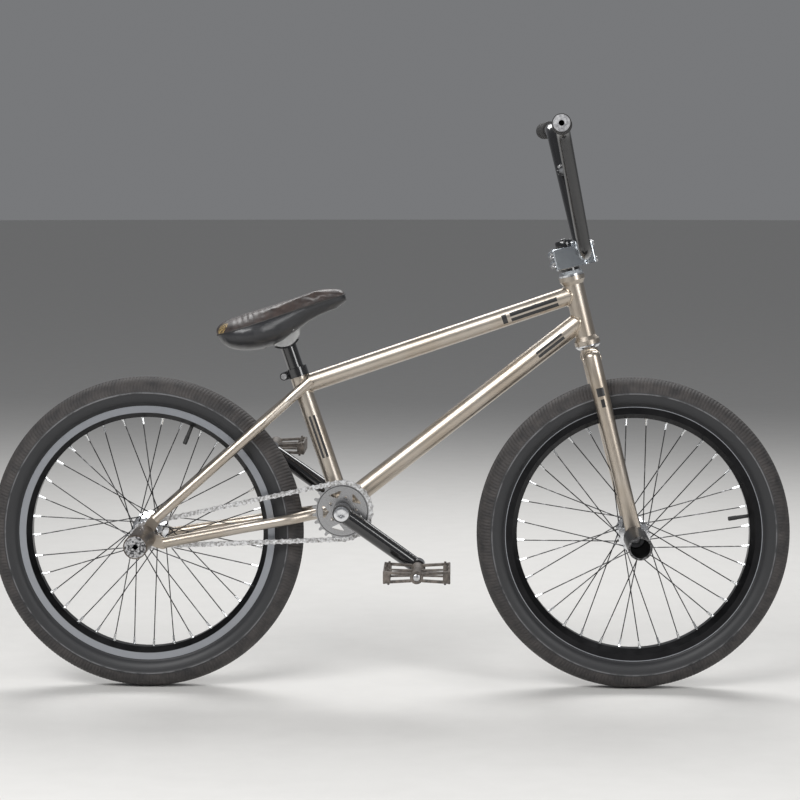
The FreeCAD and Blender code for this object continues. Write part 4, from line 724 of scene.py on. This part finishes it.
# ---- rims, hubs and inner tubes ----
# Double wall alloy rims: the rear one has a bright machined braking band, the front one is
# black all over with a bright cut edge. The hubs are polished, the tubes butyl rubber.
BRAKING_BAND = (0.1978, 0.2092, 0.0004)
CUT_EDGE = (0.2078, 0.2092, 0.0003)
VALVE_ANGLES = {"front": 8.8, "rear": 67.3}
VALVE_FOOT = 0.1575
for end, hub in ENDS:
    rim = Finish(f"{end}_rim_alloy", metallic=0.9)
    radius = rim.reach(hub)
    circles = rim.node("ShaderNodeTexNoise", {"noise_dimensions": "1D"},
                       {"W": radius, "Scale": 2600.0, "Detail": 2.0})
    grime = rim.noise(40.0, 4.0)
    bright = radius.between(*(BRAKING_BAND if end == "rear" else CUT_EDGE))
    shine = rim.mix(circles, (0.28, 0.29, 0.32), (0.46, 0.48, 0.51))
    black = rim.mix(grime, (0.010, 0.010, 0.011), (0.030, 0.030, 0.032))
    rim.feed({"Base Color": rim.mix(bright, black, shine),
              "Roughness": 0.24 + grime * 0.12 + bright * 0.06})
    rim.bump(circles * bright, 0.00003, 0.5)
    paint(rim, f"{end}_rim")
paint(polished, "front_hub_shell", "rear_hub_shell")
butyl = Finish("butyl_rubber", roughness=0.6)
powder = butyl.noise(300.0, 3.0)
butyl.mottle(powder, (0.012, 0.012, 0.012), (0.03, 0.03, 0.03))
paint(butyl, "front_inner_tube", "rear_inner_tube")
for end, hub in reversed(ENDS):
    angle = math.radians(VALVE_ANGLES[end])
    valve = Vector((math.cos(angle), 0, math.sin(angle)))
    cap = bmesh.new()
    outline = [(0, -1.0), (2.6, -1.0), (3.5, 0.2)]
    for k in range(8):
        outline += [(3.7, 1.0 + k * 1.4), (3.4, 1.7 + k * 1.4)]
    outline += [(3.7, 12.4), (3.2, 13.2), (3.1, 13.2)]
    for k in range(7):
        outline += [(3.3, 13.9 + k * 1.2), (3.05, 14.5 + k * 1.2)]
    outline += [(3.05, 22.5), (0, 22.5)]
    lathe(cap, outline, hub + valve * VALVE_FOOT, valve, 24)
    piece(f"{end}_valve_cap", cap, butyl, f"{end}_wheel")


# ---- spokes ----
# Thirty six black steel spokes to a wheel, laced three cross. Each has a head at the hub
# flange and a bright plated nipple in the rim.
black_wire = Finish("black_spoke", metallic=0.6, roughness=0.34)
rub = black_wire.noise(80.0, 4.0)
black_wire.mottle(rub.above(0.62, 0.08), (0.018, 0.018, 0.019), (0.22, 0.22, 0.23))
nipple_plate = Finish("nipple_plating", metallic=1.0)
film = nipple_plate.noise(500.0, 3.0)
nipple_plate.feed({"Base Color": nipple_plate.mix(film, (0.68, 0.69, 0.70), (0.86, 0.87, 0.88)),
                   "Roughness": 0.16 + film * 0.2})
SPOKES = 36
SPOKE_BED = 189.5
FLANGES = {"front": ((-33.0, 26.0), (33.0, 26.0)),  # across, radius
           "rear": ((-26.0, 26.0), (33.0, 30.0))}
HOLE_INSET = 3.0
CROSSINGS = 3
HOLE_ANGLE = 720.0 / SPOKES
THICK_END = 14.0
NIPPLE_LENGTH, NIPPLE_SHANK = 12.0, 9.6


def taper(bm, start, end, first, last, segments=8):
    """A closed tapered rod between two points, its radii in millimetres."""
    run = end - start
    place = (Matrix.Translation((start + end) / 2)
             @ run.to_track_quat("Z", "Y").to_matrix().to_4x4())
    bmesh.ops.create_cone(bm, cap_ends=True, cap_tris=False, segments=segments,
                          radius1=first * MM, radius2=last * MM, depth=run.length,
                          matrix=place)


def wheel_point(hub, radius, angle, across):
    turn = math.radians(angle)
    return hub + Vector((radius * math.cos(turn), across, radius * math.sin(turn))) * MM


for end, hub in reversed(ENDS):
    wires = bmesh.new()
    tips = bmesh.new()
    for k in range(SPOKES):
        across, flange = FLANGES[end][k % 2]
        lean = 1 if (k // 2) % 2 == 0 else -1
        outward = 1 if across > 0 else -1
        rim_angle = VALVE_ANGLES[end] + 360.0 * (k + 0.5) / SPOKES
        hub_angle = rim_angle + lean * CROSSINGS * HOLE_ANGLE - lean * HOLE_ANGLE / 2
        hole = flange - HOLE_INSET
        start = wheel_point(hub, hole, hub_angle, across + lean * 2.3 * outward)
        end_point = wheel_point(hub, SPOKE_BED - 0.1, rim_angle, 3.0 * outward)
        run = (end_point - start).normalized()
        neck = end_point - run * NIPPLE_LENGTH * MM
        taper(wires, start, start + run * THICK_END * MM, 1.05, 1.05)
        taper(wires, start + run * THICK_END * MM, neck, 0.9, 0.9)
        inner = wheel_point(hub, hole, hub_angle, across - lean * 1.9 * outward)
        cap_end = wheel_point(hub, hole, hub_angle, across - lean * 3.0 * outward)
        taper(tips, start, inner, 1.1, 1.1)
        taper(tips, inner, cap_end, 2.3, 1.5)
        taper(tips, neck, neck + run * NIPPLE_SHANK * MM, 1.75, 1.95)
        taper(tips, neck + run * NIPPLE_SHANK * MM, end_point, 2.5, 2.9)
    piece(f"{end}_spoke_wires", wires, black_wire, f"{end}_wheel",
          (f"{end}_spokes",))
    piece(f"{end}_spoke_nipples", tips, nipple_plate, f"{end}_wheel")


# ---- axle nuts and pegs ----
# Hardened nuts with chamfered corners; steel pegs over the right-hand axle ends, browned and
# scraped, with the rear one's end face worn bright by grinding along ledges.
def nut(bm, base, direction, corner, bore, height, washer):
    """A hexagon nut with chamfered ends on a round washer."""
    lathe(bm, [(bore, 0), (washer, 0), (washer, 1.2), (bore, 1.2)], base, direction, 40)
    made = lathe(bm, [(bore, 1.2), (corner, 1.2), (corner, height - 1.6),
                      (corner * 0.86, height), (bore, height)], base, direction, HEX)
    rounded(bm, {edge for vert in made for edge in vert.link_edges}, 0.35, 2)


nuts = bmesh.new()
nut(nuts, rear_hub + Vector((0, 61.0, 0)) * MM, LEFT, 12.7, 7.0, 10.0, 15.0)
nut(nuts, rear_hub + Vector((0, -67.0, 0)) * MM, Vector((0, -1, 0)), 12.7, 7.0, 10.0, 14.5)
piece("rear_wheel_nuts", nuts, plated, "frame", ("rear_axle_nuts",))
nuts = bmesh.new()
nut(nuts, front_hub + Vector((0, 57.0, 0)) * MM, LEFT, 9.2, 4.76, 9.0, 12.0)
nut(nuts, front_hub + Vector((0, -63.0, 0)) * MM, Vector((0, -1, 0)), 9.2, 4.76, 9.0, 14.0)
piece("front_wheel_nuts", nuts, plated, "fork", ("front_axle_nuts",))

for end, hub, last in (("rear", rear_hub, -171.0), ("front", front_hub, -167.0)):
    peg = Finish(f"{end}_peg_steel", metallic=0.95)
    _, across, _ = peg.axes(peg.place())
    scrape = peg.noise(70.0, 5.0, peg.combed(LEFT, 0.75))
    pits = peg.noise(330.0, 4.0)
    dark = peg.mix(scrape.above(0.55, 0.12), (0.085, 0.066, 0.052), (0.25, 0.22, 0.19))
    if end == "rear":
        radius = peg.reach(hub)
        worn = (1 - across.above(last * MM + 0.0009, 0.0005)) * (1 - radius.above(0.0172, 0.0006))
        bare = peg.mix(pits.above(0.50, 0.07), (0.07, 0.07, 0.073), (0.62, 0.62, 0.63))
        dark = peg.mix(worn, dark, bare)
    else:
        rim_edge = 1 - across.above(last * MM + 0.0016, 0.0006)
        dark = peg.mix(rim_edge * pits.above(0.5, 0.1), (0.035, 0.034, 0.034),
                       (0.24, 0.24, 0.245))
    peg.feed({"Base Color": dark, "Roughness": 0.26 + pits * 0.22})
    peg.bump(pits, 0.00016, 0.5)
    paint(peg, f"{end}_peg")


# ---- chain, sprocket and driver ----
# Half inch chain with bright, slightly oily plates. It runs on a turned alloy sprocket of
# 23 teeth, with a groove cut round it that is coloured dark as painted shade, and on a 9 tooth
# driver.
chain_plate = Finish("chain_plating", metallic=0.75)
oil = chain_plate.noise(240.0, 4.0)
chain_plate.mottle(oil.above(0.55, 0.15), (0.86, 0.86, 0.87), (0.20, 0.19, 0.18), 0.24 + oil * 0.22)
paint(chain_plate, "chain_inner_links", "chain_outer_links")
sprocket_shine = Finish("sprocket_alloy", metallic=1.0)
radius = sprocket_shine.reach(bracket)
turning = sprocket_shine.node("ShaderNodeTexNoise", {"noise_dimensions": "1D"},
                              {"W": radius, "Scale": 1800.0, "Detail": 2.0})
# The groove band is coloured near black as painted shade in the groove; the same mask also sinks
# the groove slightly in the bump.
groove_and_painted_shade = radius.between(0.0403, 0.0413, 0.0002)
sprocket_shine.feed({
    "Base Color": sprocket_shine.mix(groove_and_painted_shade, sprocket_shine.mix(
        turning, (0.36, 0.36, 0.37), (0.56, 0.56, 0.57)), (0.04, 0.04, 0.04)),
    "Roughness": 0.20 + turning * 0.16})
sprocket_shine.bump(turning - groove_and_painted_shade, 0.00004, 0.5)
paint(sprocket_shine, "sprocket", "rear_driver")


# ---- crank end bolts ----
# A broad polished bolt closes each end of the spindle and holds its crank on. It has a
# small hexagon socket.
end_bolts = bmesh.new()
for side in SIDES:
    socket_bolt(end_bolts, bracket + Vector((0, side * 79.4 * MM, 0)), Vector((0, side, 0)),
                12.0, 3.6, 3.2, 48)
piece("crank_bolt_caps", end_bolts, polished, "crank", ("crank_end_bolts",))


# ---- pedals ----
# Moulded nylon platform pedals worn brown: a barrel, two studded treads joined by end plates
# that narrow to the spindle, and a round cap over the outer bearing.
nylon = Finish("pedal_nylon", roughness=0.55)
scratch = nylon.noise(110.0, 6.0, rough=0.7)
nylon.mottle(scratch.above(0.52, 0.12), (0.050, 0.042, 0.036), (0.17, 0.145, 0.125),
             0.42 + scratch * 0.28)
nylon.bump(scratch, 0.00022, 0.6)
PEDAL_INNER, PEDAL_OUTER = 83.0, 177.0
END_PLATES = (PEDAL_INNER + 3.6, PEDAL_OUTER - 3.6)
PINS_IN_ROW = 5


def strut(bm, start, end, width, height, edge=0.8):
    """A beam with rounded edges between two points, its width lying along Y."""
    run = end - start
    along = run.normalized()
    across = LEFT if abs(along.y) < 0.9 else Vector((1, 0, 0))
    block(bm, basis((start + end) / 2, along, across, along.cross(across)),
          run.length / MM, width, height, edge, 2)


for side, word in zip(SIDES, ("right", "left")):
    centre = Vector(joints[f"{word}_pedal_spin"]["pos_m"])
    centre.y = 0.0

    def at(x, y, z):
        return centre + Vector((x, side * y, z)) * MM

    body = bmesh.new()
    lathe(body, [(0, -0.5), (9.2, -0.5), (10.0, 0.6), (10.0, 12.0), (8.4, 16.0), (8.4, 78.0),
                 (10.0, 82.0), (10.4, 93.0), (9.6, 94.0), (6.2, 94.2), (5.6, 93.4), (0, 93.4)],
          at(0, PEDAL_INNER, 0), Vector((0, side, 0)), 48)
    for end in SIDES:
        strut(body, at(end * 47.0, PEDAL_INNER, 0), at(end * 47.0, PEDAL_OUTER, 0), 11.6, 15.0, 2.2)
        for rail in SIDES:
            strut(body, at(end * 51.0, PEDAL_INNER, rail * 8.4),
                  at(end * 51.0, PEDAL_OUTER, rail * 8.4), 3.6, 3.4, 0.9)
            for across in END_PLATES:
                strut(body, at(end * 50.0, across, rail * 7.6), at(end * 8.0, across, rail * 5.2),
                      6.8, 4.4, 1.0)
            strut(body, at(end * 46.0, 130.0, rail * 5.4), at(end * 7.0, 130.0, rail * 4.4),
                  6.0, 2.6, 0.8)
            for row in range(PINS_IN_ROW):
                foot = at(end * (44.5 + 4.5 * (row % 2)), PEDAL_INNER + 11.0 + 18.0 * row,
                          rail * 7.0)
                taper(body, foot, foot + Vector((0, 0, rail * 5.9 * MM)), 2.3, 1.7, 12)
        for across in END_PLATES:
            strut(body, at(end * 50.4, across, -9.4), at(end * 50.4, across, 9.4), 7.0, 5.0, 1.1)
    piece(f"pedal_cage_{word}", body, nylon, f"{word}_pedal",
          (f"pedal_{word}",))
    hub_cap = bmesh.new()
    lathe(hub_cap, [(0, 93.0), (5.3, 93.0), (5.3, 94.6), (4.4, 95.2), (0, 95.4)],
          at(0, PEDAL_INNER, 0), Vector((0, side, 0)), 32)
    piece(f"pedal_dust_cap_{word}", hub_cap, plated, f"{word}_pedal")


# ---- seat ----
# A slim padded seat on a base clamped to the post. The top cover is brown vinyl, creased
# across by the rider, with painted highlights on the crease ridges and painted shade between
# them; the black side covers meet it at a piped seam.
seat_rear = Vector((-0.2835, 0, 0.583))
TILT = math.radians(14.9)
seat_along = Vector((math.cos(TILT), 0, math.sin(TILT)))
seat_out = Vector((-math.sin(TILT), 0, math.cos(TILT)))


def on_seat(forward, up, side=0.0):
    return seat_rear + (seat_along * forward + seat_out * up) * MM + Vector((0, side * MM, 0))


SEAT_STATIONS = (  # forward, underside, top, half width
    (0.2, -6.0, 3.0, 10.0), (3.0, -16.0, 7.5, 27.0), (9.0, -26.0, 11.0, 40.0),
    (18.0, -33.5, 13.2, 51.0), (31.0, -39.0, 12.8, 60.0), (46.0, -42.5, 12.0, 64.5),
    (62.0, -44.5, 12.4, 65.0), (79.0, -44.0, 13.0, 61.0), (97.0, -40.0, 13.9, 53.5),
    (116.0, -33.0, 14.9, 44.0), (135.0, -25.0, 16.0, 36.0), (154.0, -16.5, 17.3, 29.5),
    (172.0, -12.0, 18.9, 25.5), (190.0, -9.4, 19.6, 23.2), (205.0, -8.8, 18.0, 20.6),
    (215.0, -7.8, 15.0, 16.4), (221.5, -5.4, 10.5, 10.0))
PAD_SIDES = 56
SHOULDER_FULLNESS = 0.72
SEAM_START, SEAM_SLOPE = -0.006, 0.055
pad = bmesh.new()
rings = []
for forward, low, high, half in SEAT_STATIONS:
    rings.append((basis(on_seat(forward, (low + high) / 2), LEFT, seat_out,
                        seat_along, (half * MM, (high - low) / 2 * MM, MM)), PAD_SIDES))
loft(pad, rings)
for vert in pad.verts:
    local = vert.co - seat_rear
    forward = local.dot(seat_along) / MM
    up = local.dot(seat_out) / MM
    _, low, high, _ = min(SEAT_STATIONS, key=lambda station: abs(station[0] - forward))
    rise = (up - (low + high) / 2) / max((high - low) / 2, 0.1)
    if rise > 0:
        fuller = rise ** SHOULDER_FULLNESS
        vert.co += seat_out * (fuller - rise) * (high - low) / 2 * MM
bmesh.ops.recalc_face_normals(pad, faces=pad.faces[:])

vinyl = Finish("seat_vinyl", coat_weight=0.25, coat_roughness=0.22)
shifted = vinyl.place_from(seat_rear)
lift = vinyl.dot(shifted, seat_out)
forward_on_seat = vinyl.dot(shifted, seat_along)
pebble = vinyl.node("ShaderNodeTexVoronoi", None, {"Vector": vinyl.place(), "Scale": 900.0})
crease = vinyl.noise(70.0, 4.0, vinyl.combed(LEFT, 0.7))
fade = vinyl.noise(22.0, 4.0)
seam_height = SEAM_START + forward_on_seat * SEAM_SLOPE
top_mask = (lift - seam_height).above(0.0, 0.0011)
# The crease noise colours the top: paler brown on the ridges is painted highlight, darker brown in
# the troughs is painted shade; the same noise raises the ridges in the bump.
brown = vinyl.mix(crease.above(0.52, 0.14), (0.014, 0.009, 0.008), (0.048, 0.031, 0.026))
brown = vinyl.mix(fade.above(0.58, 0.12) * 0.5, brown, (0.070, 0.054, 0.050))
black_side = vinyl.mix(fade, (0.013, 0.013, 0.015), (0.026, 0.027, 0.031))
side_axis = vinyl.axes(vinyl.place())[1].math("ABSOLUTE")
motif_x = forward_on_seat - 0.016
motif_y = side_axis - 0.036
motif = (motif_x * motif_x + motif_y * motif_y).math("SQRT")
petals = motif_y.math("ARCTAN2", motif_x).math("MULTIPLY", 5.0).math("SINE")
thread = (motif + petals * 0.0016).math("PINGPONG", 0.0019).above(0.00125, 0.0002)
stitched = thread * (1 - motif.above(0.0105, 0.0004)) * top_mask
brown = vinyl.mix(stitched, brown, (0.52, 0.36, 0.13))
vinyl.mottle(top_mask, black_side, brown, 0.32 + top_mask * 0.12 + fade * 0.12)
vinyl.bump(pebble * 0.35 + crease * top_mask, 0.00028, 0.7)


VOXEL = 0.0042
PRESSURE = 4.0
CLOTH_FRAMES = 20
PUFF_CAP = 0.0045


def puffed(item):
    """Inflates a closed cover as cloth, then keeps each point within a cap of its place."""
    remesh = item.modifiers.new("remesh", "REMESH")
    remesh.mode = "VOXEL"
    remesh.voxel_size = VOXEL
    bpy.context.view_layer.objects.active = item
    bpy.context.view_layer.update()
    graph = bpy.context.evaluated_depsgraph_get()
    item.data = bpy.data.meshes.new_from_object(item.evaluated_get(graph))
    item.modifiers.clear()
    before = [vert.co.copy() for vert in item.data.vertices]
    cloth = item.modifiers.new("cloth", "CLOTH")
    cloth.settings.use_pressure = True
    cloth.settings.uniform_pressure_force = PRESSURE
    cloth.settings.effector_weights.gravity = 0.0
    cloth.settings.quality = 6
    for number in range(1, CLOTH_FRAMES + 1):
        scene.frame_set(number)
    graph = bpy.context.evaluated_depsgraph_get()
    after = bpy.data.meshes.new_from_object(item.evaluated_get(graph))
    item.modifiers.clear()
    for vert, start, moved in zip(item.data.vertices, before, after.vertices):
        step = moved.co - start
        if step.length > PUFF_CAP:
            step = step * (PUFF_CAP / step.length)
        vert.co = start + step
    scene.frame_set(1)


SHRINK = 0.985
bmesh.ops.transform(pad, verts=pad.verts[:], matrix=(
    Matrix.Translation(on_seat(100.0, -10.0)) @ Matrix.Scale(SHRINK, 4)
    @ Matrix.Translation(-on_seat(100.0, -10.0))))
mesh = bpy.data.meshes.new("seat_cover")
pad.to_mesh(mesh)
pad.free()
mesh.materials.append(vinyl.material)
seat_cover = bpy.data.objects.new("seat_cover", mesh)
scene.collection.objects.link(seat_cover)
puffed(seat_cover)
CREASE = 0.34 * MM
CREASE_START = -0.004
CREASED_FROM, CREASED_TO = 0.02, 0.20
POCKET_HALF = 18.5
POCKET_BACK, POCKET_FRONT = -33.0, 14.0
POCKET_ROOF = -9.5
smooth = bmesh.new()
smooth.from_mesh(seat_cover.data)
bmesh.ops.subdivide_edges(smooth, edges=smooth.edges[:], cuts=1, use_grid_fill=True,
                          smooth=1.0)
smooth.normal_update()
pivot = Vector(joints["seat_tilt"]["pos_m"])
for vert in smooth.verts:
    local = vert.co - seat_rear
    forward = local.dot(seat_along)
    up = local.dot(seat_out)
    behind = (vert.co - pivot).dot(seat_along) / MM
    below = (vert.co - pivot).dot(seat_out) / MM
    in_pocket = abs(local.y) < POCKET_HALF * MM and POCKET_BACK < behind < POCKET_FRONT
    if in_pocket and below < POCKET_ROOF:
        vert.co += seat_out * (POCKET_ROOF - below) * MM  # room for the cradle as it rocks
    edge = CREASE_START + forward * SEAM_SLOPE
    if up < edge or not CREASED_FROM < forward < CREASED_TO:
        continue
    strength = min((up - edge) / 0.008, 1.0)
    strength *= min((forward - CREASED_FROM) / 0.03, 1.0)
    strength *= min((CREASED_TO - forward) / 0.05, 1.0)
    drift = noise.noise(Vector((forward * 30.0, local.y * 22.0, 3.0))) * 2.6
    wave = math.sin(forward * 640.0 + local.y * 26.0 + drift) * (0.55 + 0.45 * drift / 2.6)
    vert.co += vert.normal * wave * strength * CREASE
smooth.to_mesh(seat_cover.data)
smooth.free()
seat_cover.data.shade_smooth()
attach(seat_cover, "seat")
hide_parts("seat_padding")

# The piping follows the cover where the top panel meets the sides.
surface = bmesh.new()
surface.from_mesh(seat_cover.data)
tree = BVHTree.FromBMesh(surface)
surface.free()
seam_points = []
SEAM_STEPS = 150
PIPING_RADIUS = 0.0011
for k in range(SEAM_STEPS):
    turn = 2 * math.pi * k / SEAM_STEPS
    forward = 110.0 - 104.0 * math.cos(turn)
    up = SEAM_START / MM + forward * SEAM_SLOPE
    direction = (LEFT * math.sin(turn) * 0.8
                 - seat_along * math.cos(turn) * abs(math.cos(turn)) ** 6).normalized()
    centre = on_seat(min(max(forward, 26.0), 196.0), up)
    hit = tree.ray_cast(centre, direction)
    if hit[0] is not None:
        seam_points.append(hit[0] + hit[1] * 0.0002)
piping = bmesh.new()
rings = []
for k, point in enumerate(seam_points):
    along = (seam_points[(k + 1) % len(seam_points)] - seam_points[k - 1]).normalized()
    rings.append(ring(point, Vector((0, 0, 1)), along, PIPING_RADIUS))
loft(piping, rings, closed=True)
piece("seat_piping", piping, grip_rubber, "seat")

# The base is a bright cast boss that the post's cradle clamps.
boss_alloy = Finish("seat_boss_alloy", metallic=0.9)
cast = boss_alloy.noise(150.0, 4.0)
boss_alloy.mottle(cast, (0.60, 0.60, 0.60), (0.80, 0.80, 0.79), 0.22 + cast * 0.2)
paint(boss_alloy, "seat_base")
